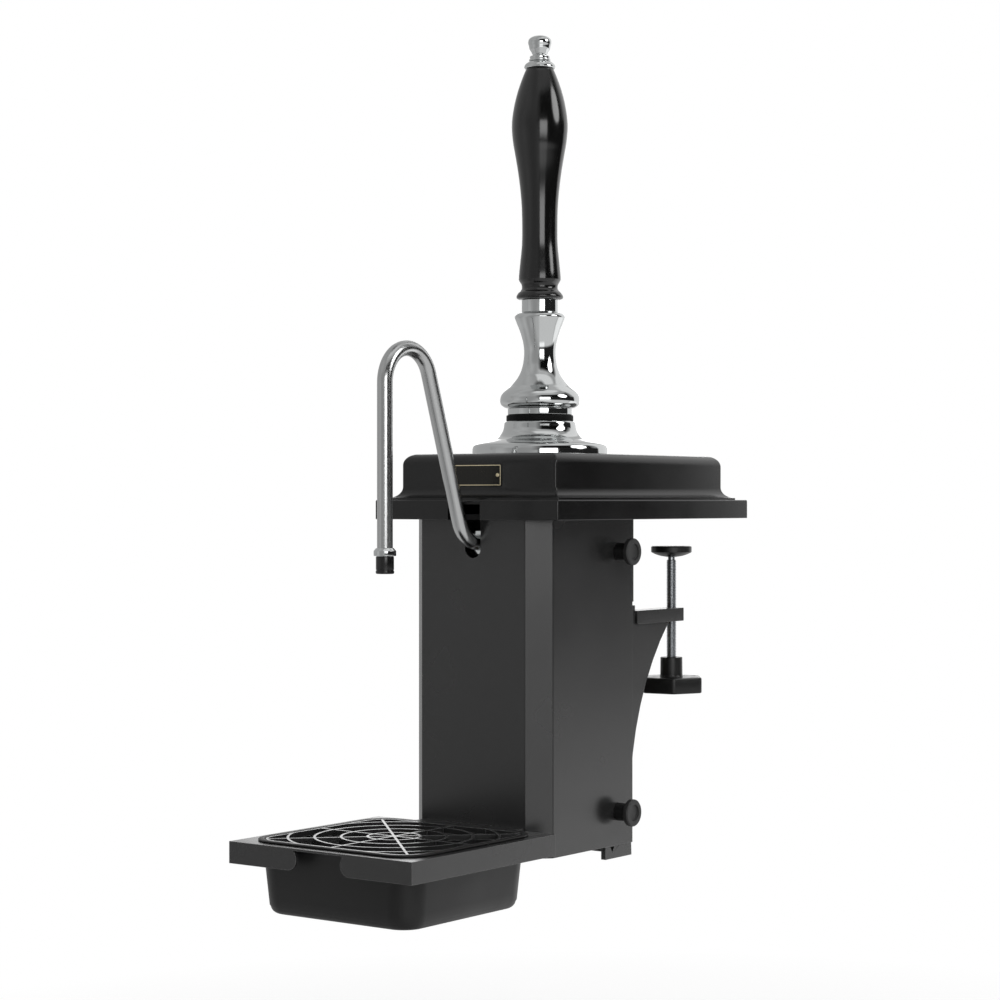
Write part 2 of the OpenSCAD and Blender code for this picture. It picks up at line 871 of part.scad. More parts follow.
// Clamps: arm, pad and screw with its knob
module clamp_arm() {
    z = -arm_z;
    difference() {
        union() {
            block([arm_x0, arm_y0, z - arm_t], [arm_x1, arm_y1, z]);
            block([arm_x0, arm_tongue_y, z - arm_t], [bracket_x0, arm_y0 + over, z]);
        }
        rod_z(screw_d / 2 + fit, z - arm_t - over, z + over, screw_x, screw_y);
        for (y = arm_screw_ys)
            rod_x(m6_r + fit, arm_x0 - over, bracket_x0 + over, y, z - arm_t / 2);
    }
}

module clamp_arm_right() {
    color("#3c3c3c")
        clamp_arm();
}

module clamp_arm_left() {
    color("#3c3c3c")
        mirror([1, 0, 0])
            clamp_arm();
}

module clamp_pad() {
    r = pad_d / 2;
    dome_sphere_r = (r * r + pad_dome * pad_dome) / (2 * pad_dome);
    translate([screw_x, screw_y, -counter_t - pad_rim])
        difference() {
            union() {
                cylinder(r = r, h = pad_rim);
                intersection() {
                    translate([0, 0, dome_sphere_r - pad_dome])
                        sphere(dome_sphere_r);
                    translate([0, 0, -pad_dome])
                        cylinder(r = r, h = pad_dome + over);
                }
            }
            translate([0, 0, -pad_dome - over])
                cylinder(r = pad_neck_r + fit, h = over + screw_tip);
        }
}

module clamp_pad_right() {
    color("#202020")
        clamp_pad();
}

module clamp_pad_left() {
    color("#202020")
        mirror([1, 0, 0])
            clamp_pad();
}

// Six-sided hand knob with small round corners, under its hub
module grip_knob() {
    reach = grip_knob_d / 2 - grip_knob_corner_r;
    hull()
        for (a = [30 : 60 : 330])
            translate([reach * cos(a), reach * sin(a), 0])
                cylinder(r = grip_knob_corner_r, h = grip_knob_h, $fn = hull_fn);
}

// Threaded rod from its socket in the hub, with a turned down tip in the pad
module clamp_screw() {
    translate([screw_x, screw_y, 0]) {
        rod_z(screw_d / 2, hub_z - hub_socket, screw_top);
        rod_z(pad_neck_r, screw_top - over, screw_top + pad_neck + screw_tip - seat_gap - over);
    }
}

module clamp_screw_right() {
    color("silver")
        clamp_screw();
}

module clamp_screw_left() {
    color("silver")
        mirror([1, 0, 0])
            clamp_screw();
}

// Hand knob with its hub, one corner turned to the front and right
module clamp_knob() {
    translate([screw_x, screw_y, 0]) {
        difference() {
            rod_z(hub_r, hub_z - hub_h - over, hub_z);
            rod_z(screw_d / 2 + fit, hub_z - hub_socket - seat_gap, hub_z + over);
        }
        translate([0, 0, hub_z - hub_h - grip_knob_h])
            rotate(knob_turn)
                grip_knob();
    }
}

module clamp_knob_right() {
    color("#1c1c1c")
        clamp_knob();
}

module clamp_knob_left() {
    color("#1c1c1c")
        mirror([1, 0, 0])
            clamp_knob();
}

// Cover knobs: disc head with a recess, neck and threaded stud
module cover_knob(z) {
    x = case_w / 2;
    difference() {
        union() {
            rod_x(knob_d / 2, x + knob_l - knob_head_l, x + knob_l, knob_y, z);
            rod_x(knob_neck_r, x + seat_gap, x + knob_l - knob_head_l + over, knob_y, z);
            rod_x(m6_r, bracket_x0 - thread_boss_l, x + over, knob_y, z);
        }
        rod_x(knob_recess_r, x + knob_l - knob_recess_d, x + knob_l + over, knob_y, z);
    }
}

module cover_knob_right_upper() {
    color("#232323")
        cover_knob(knob_zs[0]);
}

module cover_knob_right_lower() {
    color("#232323")
        cover_knob(knob_zs[1]);
}

module cover_knob_left_upper() {
    color("#232323")
        mirror([1, 0, 0])
            cover_knob(knob_zs[0]);
}

module cover_knob_left_lower() {
    color("#232323")
        mirror([1, 0, 0])
            cover_knob(knob_zs[1]);
}

// Swan neck, drawn once for the tube and once for its bore, in the plane X = 0. The straight runs reach
// a little way into the bends, which are a hair thinner, so that every joint is a clean step.
module bend_piece(centre, radius, r, a0, sweep) {
    translate([0, centre[0], centre[1]])
        rotate([90, 0, 90])
            rotate(a0)
                rotate_extrude(angle = sweep)
                    translate([radius, 0])
                        circle(r);
}

module neck_path(r, extra) {
    rod_z(r, spout_tip - extra, arch_cz + knit, 0, spout_y);
    bend_piece([arch_y, arch_cz], arch_r, r - fit, leg_lean, 180 - leg_lean);
    translate([0, leg_top[0], leg_top[1]])
        rotate([180 + leg_lean, 0, 0])
            translate([0, 0, -knit])
                cylinder(r = r, h = leg_l + 2 * knit);
    bend_piece([bend_cy, bend_cz], bend_r, r - fit, 180 + leg_lean, 90 - leg_lean);
    rod_y(r, bend_cy - knit, tail_end + extra, 0, -tail_z);
}

module swan_neck() {
    color("#c4c6c8")
        difference() {
            neck_path(tube_r, 0);
            neck_path(tube_r - tube_t, over);
        }
}

module neck_nut() {
    color("#c9cccf")
        translate([0, tail_end - nut_l / 2, -tail_z])
            rotate([-90, 0, 0])
                difference() {
                    hex_bar(nut_af, nut_l);
                    translate([0, 0, -over])
                        cylinder(r = tube_r + fit, h = nut_l + 2 * over);
                }
}

module outlet_pipe() {
    end = pump_y - cap_w / 2 + pipe_depth;
    color("#c4c6c8")
        difference() {
            rod_y(tube_r, tail_end, end, 0, -tail_z);
            rod_y(tube_r - tube_t, tail_end - over, end + over, 0, -tail_z);
        }
}

module spout_collar() {
    color("#c9cccf")
        translate([0, spout_y, spout_end])
            difference() {
                cylinder(r = spout_collar_r, h = spout_collar_h);
                translate([0, 0, -over])
                    cylinder(r = tube_r + fit, h = spout_collar_h + 2 * over);
            }
}

// Sparkler: a cap that turns on the spout's end, with one outlet
module sparkler() {
    color("#141414")
        translate([0, spout_y, spout_end - seat_gap - sparkler_l])
            difference() {
                cylinder(d = sparkler_d, h = sparkler_l);
                translate([0, 0, sparkler_l - sparkler_grip - over])
                    cylinder(r = tube_r + fit, h = sparkler_l);
                translate([0, 0, sparkler_floor])
                    cylinder(r = tube_r - tube_t, h = sparkler_l);
                translate([0, 0, -over])
                    cylinder(r = sparkler_hole_r, h = sparkler_l);
            }
}

// Pump caps and what holds them
module cap_body(z0, z1) {
    translate([0, pump_y, z0])
        linear_extrude(z1 - z0)
            round_rectangle(cap_w, cap_w, cap_corner_r);
}

module tie_places() {
    for (x = [-tie_x, tie_x], y = [-tie_x, tie_x])
        translate([x, pump_y + y, 0])
            children();
}

module tie_holes() {
    tie_places()
        rod_z(m6_r + fit, cap_bottom - over, cap_top + over);
}

module seal_groove(z) {
    translate([0, pump_y, z - seal_groove / 2])
        difference() {
            cylinder(r = cylinder_r + over, h = seal_groove);
            translate([0, 0, -over])
                cylinder(r = cylinder_r - 2 * seal_r - fit, h = seal_groove + 2 * over);
        }
}

module top_cap() {
    front = pump_y - cap_w / 2;
    port_y = pump_y - port_in;
    color("#dcdcd6")
        difference() {
            union() {
                cap_body(tube_top, cap_top);
                rod_z(spigot_r, tube_top - spigot_l, tube_top + over, 0, pump_y);
            }
            tie_holes();
            seal_groove(tube_top - spigot_l / 2);
            rod_z(rod_r + fit, tube_top - spigot_l - over, cap_top + over, 0, pump_y);
            rod_y(tube_r + fit, front - over, front + pipe_depth, 0, -tail_z);
            rod_y(port_r, front, port_y + port_r, 0, -tail_z);
            rod_z(port_r, tube_top - spigot_l - over, -tail_z, 0, port_y);
        }
}

module cylinder_tube() {
    color("#b08d4c")
        translate([0, pump_y, tube_bottom])
            difference() {
                cylinder(r = cylinder_r + cylinder_t, h = tube_top - tube_bottom);
                translate([0, 0, -over])
                    cylinder(r = cylinder_r, h = tube_top - tube_bottom + 2 * over);
            }
}

module bottom_cap() {
    spigot_top = tube_bottom + spigot_l;
    color("#dcdcd6")
        difference() {
            union() {
                cap_body(cap_bottom, tube_bottom);
                rod_z(spigot_r, tube_bottom - over, spigot_top, 0, pump_y);
            }
            tie_holes();
            seal_groove(tube_bottom + spigot_l / 2);
            rod_z(chamber_r, chamber_floor, spigot_top + over, 0, pump_y);
            rod_z(inlet_seat_r, cap_bottom, chamber_floor + over, 0, pump_y);
            rod_z(barb_socket_r + fit, cap_bottom - over, cap_bottom + barb_socket_l, 0, pump_y);
        }
}

module cap_seals() {
    color("#1a1a1a")
        for (z = [tube_top - spigot_l / 2, tube_bottom + spigot_l / 2])
            translate([0, pump_y, z])
                rotate_extrude()
                    translate([cylinder_r - seal_r, 0])
                        circle(seal_r);
}

module tie_rods() {
    color("silver")
        tie_places() {
            rod_z(m6_r, cap_bottom - tie_nut_h - over, plate_t + tie_nut_h + over);
            for (z = [cap_bottom - tie_nut_h, plate_t])
                translate([0, 0, z])
                    hex_bar(m6_nut_af, tie_nut_h);
        }
}

module tie_spacers() {
    color("silver")
        tie_places()
            difference() {
                rod_z(tie_spacer_r, cap_top, 0);
                rod_z(m6_r + fit, cap_top - over, over);
            }
}

module rod_gland() {
    color("#b08d4c")
        translate([0, pump_y, cap_top])
            difference() {
                hex_bar(gland_af, gland_h);
                translate([0, 0, -over])
                    cylinder(r = rod_r + fit, h = gland_h + 2 * over);
            }
}

module valve_cage() {
    top = tube_bottom + spigot_l;
    color("silver")
        translate([0, pump_y, top - cage_t])
            difference() {
                cylinder(r = chamber_r - fit, h = cage_t);
                for (a = [0 : 90 : 270])
                    rotate(a)
                        translate([cage_ring, 0, -over])
                            cylinder(r = cage_hole_r, h = cage_t + 2 * over);
            }
}

module hose_barb() {
    tooth_r = barb_r - barb_step;
    color("#b08d4c")
        translate([0, pump_y, cap_bottom])
            difference() {
                union() {
                    cylinder(r = barb_socket_r, h = barb_socket_l);
                    translate([0, 0, -barb_flange_h])
                        hex_bar(barb_flange_af, barb_flange_h);
                    for (i = [1 : barb_teeth])
                        translate([0, 0, -barb_flange_h - i * barb_tooth])
                            cylinder(r1 = tooth_r, r2 = barb_r, h = barb_tooth);
                }
                translate([0, 0, -barb_l - over])
                    cylinder(r = barb_bore_r, h = barb_l + 2 * over);
                cylinder(r = barb_inner_r, h = 2 * barb_socket_l);
            }
}

module inlet_ball() {
    z = chamber_floor + sqrt(ball_r * ball_r - inlet_seat_r * inlet_seat_r) + seat_gap;
    color("#d0d0d0")
        translate([0, pump_y, z])
            sphere(ball_r);
}

// Handle: turned parts on one rod, from the collar up
bell_bulge_share = [[0, 0.84], [0.011, 0.883], [0.032, 0.956], [0.054, 0.988], [0.086, 1], [0.126, 0.984],
    [0.169, 0.922], [0.21, 0.81], [0.238, 0.727], [0.292, 0.615], [0.346, 0.516], [0.408, 0.461],
    [0.481, 0.417], [0.595, 0.396], [0.703, 0.43], [0.811, 0.508], [0.886, 0.581], [0.93, 0.625]];
bell_rim_share = [[0.93, 0.625], [0.963, 0.622], [0.98, 0.59], [1, 0.47]];
grip_bead_share = [[0, 0.775], [0.006, 0.82], [0.015, 0.837], [0.029, 0.778], [0.038, 0.7]];
grip_groove_share = [[0.038, 0.7], [0.047, 0.652], [0.056, 0.641], [0.067, 0.66], [0.076, 0.707],
    [0.087, 0.756]];
grip_body_share = [[0.087, 0.756], [0.114, 0.741], [0.164, 0.7], [0.24, 0.641], [0.316, 0.633],
    [0.398, 0.648], [0.474, 0.696], [0.553, 0.778], [0.631, 0.885], [0.681, 0.956], [0.739, 1],
    [0.786, 0.985], [0.838, 0.919], [0.891, 0.815], [0.942, 0.678], [0.985, 0.54], [1, 0.48]];
finial_flare_share = [[0, 0.98], [0.053, 1], [0.144, 0.907], [0.203, 0.74], [0.234, 0.64]];
finial_disc_share = [[0.234, 0.69], [0.29, 0.69], [0.3, 0.64], [0.38, 0.64]];
finial_bud_share = [[0.38, 0.64], [0.406, 0.453], [0.47, 0.507], [0.53, 0.573], [0.594, 0.653], [0.687, 0.7],
    [0.78, 0.747], [0.866, 0.72], [0.925, 0.62], [0.975, 0.44], [0.995, 0.2], [1, 0]];

module collar() {
    color("#c9cccf")
        translate([0, axis_y, collar_z])
            difference() {
                cylinder(d = collar_d, h = collar_h);
                translate([0, 0, -over])
                    cylinder(r = fork_head_r + fit, h = collar_h + 2 * over);
            }
}

module bell() {
    color("#c9cccf")
        translate([0, axis_y, bell_z])
            turned([bell_bulge_share, bell_rim_share], bell_h, bell_d / 2, lever_r + fit);
}

module ferrule() {
    color("#c9cccf")
        translate([0, axis_y, ferrule_z])
            difference() {
                cylinder(d = ferrule_d, h = ferrule_h);
                translate([0, 0, -over])
                    cylinder(r = lever_r + fit, h = ferrule_h + 2 * over);
            }
}

module grip() {
    color("#161616")
        translate([0, axis_y, grip_z])
            turned([grip_bead_share, grip_groove_share, grip_body_share],
                   grip_h, grip_d / 2, lever_r + fit);
}

module finial() {
    color("#c9cccf")
        translate([0, axis_y, finial_z])
            difference() {
                turned([finial_flare_share, finial_disc_share, finial_bud_share], finial_h, finial_d / 2);
                translate([0, 0, -over])
                    cylinder(r = lever_r + fit, h = lever_end - finial_z + over);
            }
}

module lever_rod() {
    color("silver")
        rod_z(lever_r, fork_head_z + over, lever_end, 0, axis_y);
}

module lever_fork() {
    color("#8f9296")
        difference() {
            union() {
                rod_z(fork_head_r, fork_head_z, bell_z, 0, axis_y);
                both_sides() {
                    x0 = crosshead_x + cheek_gap;
                    rod_x(cheek_r, x0, x0 + cheek_t, axis_y, pin_z);
                    block([x0, axis_y - cheek_r, pin_z],
                          [x0 + cheek_t, axis_y + cheek_r, fork_head_z + over]);
                }
            }
            rod_z(lever_r + fit, fork_head_z + over, bell_z + over, 0, axis_y);
            rod_x(pin_r + fit, -fork_head_r - over, fork_head_r + over, axis_y, pin_z);
        }
}

module fork_pin() {
    end = crosshead_x + cheek_gap + cheek_t + fit;
    color("silver") {
        rod_x(pin_r, -end, end, axis_y, pin_z);
        both_sides()
            rod_x(pin_r + pin_head_h, end, end + pin_head_h, axis_y, pin_z);
    }
}

// Crosshead, rod and piston
module slotted(r, x0, x1) {
    for (y = [-slot_half, slot_half])
        rod_x(r, x0, x1, pump_y + y, pin_z);
    block([x0, pump_y - slot_half, pin_z - r], [x1, pump_y + slot_half, pin_z + r]);
}

module crosshead() {
    low = pin_z - slot_r - crosshead_wall;
    color("#8f9296")
        difference() {
            union() {
                slotted(slot_r + crosshead_wall, -crosshead_x, crosshead_x);
                rod_z(crosshead_stem_r, low - crosshead_stem_l, pin_z - slot_r, 0, pump_y);
            }
            slotted(slot_r, -crosshead_x - over, crosshead_x + over);
            rod_z(rod_r + fit, low - crosshead_stem_l - over, low - over, 0, pump_y);
        }
}

module piston_rod() {
    top = pin_z - slot_r - crosshead_wall - 2 * over;
    stop_z = piston_top + seat_gap + valve_t + valve_lift;
    color("#c4c6c8") {
        rod_z(rod_r, piston_top, top, 0, pump_y);
        rod_z(m6_r, piston_bottom + over, piston_top + over, 0, pump_y);
        rod_z(stop_r, stop_z, stop_z + stop_t, 0, pump_y);
    }
}

function piston_seal_zs() = [piston_top - piston_h / 4, piston_bottom + piston_h / 4];

module piston() {
    color("#e4e4de")
        translate([0, pump_y, 0])
            difference() {
                rod_z(piston_r, piston_bottom, piston_top);
                for (z = piston_seal_zs())
                    difference() {
                        rod_z(piston_r + over, z - piston_groove / 2, z + piston_groove / 2);
                        rod_z(cylinder_r - 2 * piston_seal_r - 2 * fit, z - piston_groove, z + piston_groove);
                    }
                rod_z(m6_r + fit, piston_bottom - over, piston_top + over);
                rod_z(piston_recess_r, piston_bottom - over, piston_bottom + piston_nut_h + over);
                for (a = [0 : 60 : 300])
                    rotate(a)
                        rod_z(piston_port_r, piston_bottom - over, piston_top + over, piston_port_ring, 0);
            }
}

module piston_seals() {
    color("#1a1a1a")
        for (z = piston_seal_zs())
            translate([0, pump_y, z])
                rotate_extrude()
                    translate([cylinder_r - fit - piston_seal_r, 0])
                        circle(piston_seal_r);
}

module piston_nut() {
    color("silver")
        translate([0, pump_y, piston_bottom + over])
            difference() {
                hex_bar(piston_nut_af, piston_nut_h);
                translate([0, 0, -over])
                    cylinder(r = m6_r + fit, h = piston_nut_h + 2 * over);
            }
}

module piston_valve() {
    color("#1a1a1a")
        translate([0, pump_y, piston_top + seat_gap])
            difference() {
                cylinder(r = valve_r, h = valve_t);
                translate([0, 0, -over])
                    cylinder(r = rod_r + fit, h = valve_t + 2 * over);
            }
}

// Tray frame: top plate, four sides, finger gap in the front and a tongue that is screwed to the case
module tray_screw_places() {
    for (x = [-tray_screw_x, tray_screw_x])
        translate([x, 0, tray_screw_z])
            children();
}

module tray_frame() {
    w = tray_w / 2;
    top = -tray_z;
    low = top - tray_side_h;
    end_r = tray_side_h / 2;
    color("#363636")
        difference() {
            union() {
                block([-w, tray_y0, top - tray_t], [w, tray_y1, top]);
                both_sides()
                    block([w - tray_t, tray_y0, low], [w, tray_y1, top]);
                block([-w, tray_y1 - tray_t, low], [w, tray_y1, top]);
                both_sides() {
                    block([finger_w / 2 + end_r, tray_y0, low], [w, tray_y0 + tray_t, top]);
                    rod_y(end_r, tray_y0, tray_y0 + tray_t, finger_w / 2 + end_r, low + end_r);
                }
                block([-tray_tongue_w / 2, tray_y1 - over, top - tray_t], [tray_tongue_w / 2, case_y, top]);
                block([-tray_tongue_w / 2, case_y - tray_t, top - tray_tab_h],
                      [tray_tongue_w / 2, case_y, top]);
            }
            translate([0, tray_cy, top - tray_t - over])
                linear_extrude(tray_t + 2 * over)
                    round_rectangle(tub_w + 2 * tub_gap, tub_l + 2 * tub_gap, tub_r + tub_gap);
            tray_screw_places()
                rod_y(m6_r + fit, case_y - tray_t - over, case_y + over, 0, 0);
        }
}

module tray_screws() {
    inner = case_y + cover_t;
    color("silver")
        tray_screw_places() {
            rod_y(m6_r, case_y - tray_t, inner + m6_head_h, 0, 0);
            rod_y(m6_head_r, case_y - tray_t - m6_head_h / 2, case_y - tray_t, 0, 0);
            translate([0, inner, 0])
                rotate([-90, 0, 0])
                    hex_bar(m6_nut_af, m6_head_h);
        }
}

// Tub: tapered box with round corners, a rim on the frame and ledges for the grid
module tub_shape(in, top) {
    corner_x = tub_w / 2 - tub_r;
    corner_y = tub_l / 2 - tub_r;
    low_r = tub_r - tub_taper / 2;
    edge = tub_edge_r;
    hull() {
        for (x = [-corner_x, corner_x], y = [-corner_y, corner_y]) {
            translate([x, y, top])
                cylinder(r = tub_r - in, h = over, $fn = hull_fn);
            translate([x, y, -tub_h + edge])
                rotate_extrude($fn = hull_fn)
                    intersection() {
                        translate([low_r - edge, 0])
                            circle(edge - in, $fn = hull_fn);
                        translate([0, -edge])
                            square([low_r, 2 * edge]);
                    }
        }
    }
}

module drip_tub() {
    rim_z = seat_gap + tub_rim_t;
    ledge_z = rim_z - grid_h - 2 * seat_gap;
    rim_out = tub_gap + tub_rim_w;
    color("#242424")
        translate([0, tray_cy, -tray_z])
            difference() {
                union() {
                    tub_shape(0, rim_z - over);
                    translate([0, 0, seat_gap])
                        linear_extrude(tub_rim_t)
                            round_rectangle(tub_w + 2 * rim_out, tub_l + 2 * rim_out, tub_r + tub_rim_w);
                }
                difference() {
                    tub_shape(tub_t, rim_z);
                    for (i = [0 : 3])
                        let (inner = (i % 2 == 0 ? tub_w : tub_l) / 2 - tub_t)
                            rotate(90 * i)
                                block([inner - grid_ledge_t, -grid_ledge_w / 2, ledge_z - grid_ledge_w],
                                      [inner + over, grid_ledge_w / 2, ledge_z]);
                }
            }
}

// Grid: outer band, rings cut by it and spokes
module tray_grid() {
    inset = 2 * tub_t + 2 * grid_gap + tub_taper * grid_h / tub_h;
    w = tub_w - inset;
    l = tub_l - inset;
    r = tub_r - tub_t - grid_gap;
    color("#2c2c2c")
        translate([0, tray_cy, -tray_z + tub_rim_t - grid_h])
            linear_extrude(grid_h) {
                difference() {
                    round_rectangle(w, l, r);
                    round_rectangle(w - 2 * bar_w, l - 2 * bar_w, r - bar_w);
                }
                intersection() {
                    round_rectangle(w, l, r);
                    union() {
                        for (i = [1 : ring_count])
                            difference() {
                                circle(i * ring_step + bar_w / 2);
                                circle(i * ring_step - bar_w / 2);
                            }
                        for (a = [0 : 360 / spoke_count : 360])
                            rotate(a)
                                translate([0, -bar_w / 2])
                                    square([max(tub_w, tub_l), bar_w]);
                        circle(hub_disc_r);
                    }
                }
            }
}

base_moulding();
mounting_plate();
base_screws();
name_plate();
name_plate_pins();
dome_flange();
dome_studs();
buffer_ring();
front_cover();
bracket_plate_right();
bracket_plate_left();
bracket_bolts();
back_plate();
cross_bar();
bracket_screws();
clamp_arm_right();
clamp_arm_left();
swan_neck();
neck_nut();
outlet_pipe();
spout_collar();
top_cap();
cylinder_tube();
bottom_cap();
cap_seals();
tie_rods();
tie_spacers();
rod_gland();
valve_cage();
hose_barb();
tray_frame();
tray_screws();
collar();
bell();
ferrule();
grip();
finial();
lever_rod();
lever_fork();
fork_pin();
crosshead();
piston_rod();
piston();
piston_seals();
piston_nut();
piston_valve();
inlet_ball();
clamp_pad_right();
clamp_pad_left();
clamp_screw_right();
clamp_screw_left();
clamp_knob_right();
clamp_knob_left();
sparkler();
cover_knob_right_upper();
cover_knob_right_lower();
cover_knob_left_upper();
cover_knob_left_lower();
drip_tub();
tray_grid();
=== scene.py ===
"""Clamp-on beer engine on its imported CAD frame: visible pieces, finishes, studio and camera."""

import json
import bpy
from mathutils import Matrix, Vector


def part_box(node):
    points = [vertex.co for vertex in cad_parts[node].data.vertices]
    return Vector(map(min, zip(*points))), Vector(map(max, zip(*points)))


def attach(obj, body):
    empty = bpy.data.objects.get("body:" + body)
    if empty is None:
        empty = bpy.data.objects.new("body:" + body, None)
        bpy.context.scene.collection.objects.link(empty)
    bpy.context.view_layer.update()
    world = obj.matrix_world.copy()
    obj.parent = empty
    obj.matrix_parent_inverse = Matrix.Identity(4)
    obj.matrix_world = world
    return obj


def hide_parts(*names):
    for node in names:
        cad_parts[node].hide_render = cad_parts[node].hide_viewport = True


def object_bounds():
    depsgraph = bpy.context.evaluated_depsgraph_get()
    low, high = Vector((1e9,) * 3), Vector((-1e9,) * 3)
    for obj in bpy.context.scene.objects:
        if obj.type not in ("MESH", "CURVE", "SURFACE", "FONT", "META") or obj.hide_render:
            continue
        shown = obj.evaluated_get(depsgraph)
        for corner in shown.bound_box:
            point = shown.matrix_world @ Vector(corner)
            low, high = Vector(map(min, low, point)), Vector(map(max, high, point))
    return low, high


bl_info = {
    "name": "Beer Engine",
    "version": (1, 0, 0),
    "blender": (4, 5, 0),
    "location": "View3D > Sidebar > Beer Engine",
    "description": "Dresses a clamp-on hand pump in turned chrome, black moulding and powder coated sheet",
    "category": "Object",
}

from math import cos, hypot, pi, radians, sin, sqrt, tan

import bmesh
import bpy
from mathutils import Vector

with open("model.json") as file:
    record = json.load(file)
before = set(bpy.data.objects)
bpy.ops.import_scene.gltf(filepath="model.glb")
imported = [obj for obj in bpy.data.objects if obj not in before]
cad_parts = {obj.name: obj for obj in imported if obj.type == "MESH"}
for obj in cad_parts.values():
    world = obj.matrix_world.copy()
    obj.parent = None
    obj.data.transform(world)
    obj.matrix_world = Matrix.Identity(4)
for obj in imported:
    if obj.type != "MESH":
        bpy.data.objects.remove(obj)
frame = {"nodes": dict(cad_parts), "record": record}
CAD_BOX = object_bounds()
BODY_OF = {node: body for body, nodes in frame["record"]["behaviour"]["bodies"].items() for node in nodes}
MM = 0.001
# Middle of the studio and reach of its walls, in millimetres
STAGE_CENTRE = Vector((0, -130, 100))
WALL_REACH = 6000
# Width of the strip beside an edge that is painted lighter as a highlight, in millimetres, and the tone of
# that painted highlight
EDGE_REACH = 0.9
EDGE_HIGHLIGHT_TONE = (0.15, 0.15, 0.15, 1)
# How far the rounded and the flat direction agree where the painted edge highlight starts, and where it is
# full
EDGE_HIGHLIGHT_START, EDGE_HIGHLIGHT_FULL = 0.99, 0.8
# Faces that meet at more than this stay sharp, and broken edges are sharper than this, in degrees
CREASE, BREAK_ABOVE = 35, 32
# How far a cutter runs past the piece that it cuts, in millimetres
OVERRUN = 5
# Points closer than this become one: in a new mesh, and in a CAD node that stays, in metres
SAME_POINT, SAME_CAD_POINT = 1e-7, 1e-6


def linear(code):
    """Turns an sRGB hex colour into linear red, green and blue."""
    parts = [int(code[i : i + 2], 16) / 255 for i in (1, 3, 5)]
    return tuple(p / 12.92 if p <= 0.04045 else ((p + 0.055) / 1.055) ** 2.4 for p in parts)


def corners(node):
    """Lowest and highest corner of a CAD node, in millimetres."""
    low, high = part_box(node)
    return low / MM, high / MM


def tint(name, description, code):
    """A colour that a user would change, from its sRGB hex value."""
    return bpy.props.FloatVectorProperty(
        name=name, description=description, default=linear(code), subtype="COLOR", min=0, max=1)


class StageSettings(bpy.types.PropertyGroup):
    eye: bpy.props.FloatVectorProperty(
        name="Eye", description="Where the camera stands", default=(1.3377, -1.992, 0.0182),
        subtype="XYZ", unit="LENGTH")
    turn: bpy.props.FloatProperty(
        name="Turn", description="Angle of the camera round the beer engine",
        default=radians(36.65), subtype="ANGLE")
    lens: bpy.props.FloatProperty(
        name="Lens", description="Focal length of the camera in millimetres", default=85.68, min=20, max=300)
    floor_drop: bpy.props.FloatProperty(
        name="Floor drop", description="Height of the drip tub above the floor", default=0.32,
        min=0, unit="LENGTH")
    fill: bpy.props.FloatProperty(
        name="Fill", description="Strength of the even light from all round", default=0.45, min=0, max=3)
    wall: tint("Wall", "Tone of the studio walls that the chrome reflects", "#c2c4c4")


class HandleSettings(bpy.types.PropertyGroup):
    chrome: tint("Chrome", "Colour of the chrome plate", "#cfd1d1")
    grip: tint("Grip", "Colour of the grip's lacquer", "#060606")
    rubber: tint("Rubber", "Colour of the buffer ring", "#040404")
    facets: bpy.props.IntProperty(
        name="Facets", description="Faces round each turned piece", default=128, min=24, max=256)


class CaseSettings(bpy.types.PropertyGroup):
    moulding: tint("Moulding", "Colour of the base moulding", "#0c0c0c")
    coat: tint("Powder coat", "Colour of the case and the tray", "#191919")
    knob: tint("Knobs", "Colour of the cover knobs", "#191919")
    bend: bpy.props.FloatProperty(
        name="Bend", description="Radius of the bends in the cover's sheet", default=0.0025,
        min=0.0005, max=0.004, unit="LENGTH")
    pitch: bpy.props.FloatProperty(
        name="Pitch", description="Pitch of the clamp screws' thread", default=0.0015,
        min=0.001, max=0.003, unit="LENGTH")


class TraySettings(bpy.types.PropertyGroup):
    tub: tint("Tub", "Colour of the drip tub", "#0f0f0f")
    grid: tint("Grid", "Colour of the grid", "#1a1a1a")
    sparkler: tint("Sparkler", "Colour of the sparkler", "#0d0d0d")
    tub_corner: bpy.props.FloatProperty(
        name="Tub corner", description="Radius of the tub's upright corners", default=0.026,
        min=0.01, max=0.04, unit="LENGTH")


def add(tree, kind, inputs=None, **settings):
    """Adds a shader node with its settings; an input is a value, or a node and its output to link from."""
    node = tree.nodes.new("ShaderNode" + kind)
    for name, value in settings.items():
        setattr(node, name, value)
    for name, value in (inputs or {}).items():
        if isinstance(value, tuple) and isinstance(value[0], bpy.types.Node):
            tree.links.new(value[0].outputs[value[1]], node.inputs[name])
        else:
            node.inputs[name].default_value = value
    return node


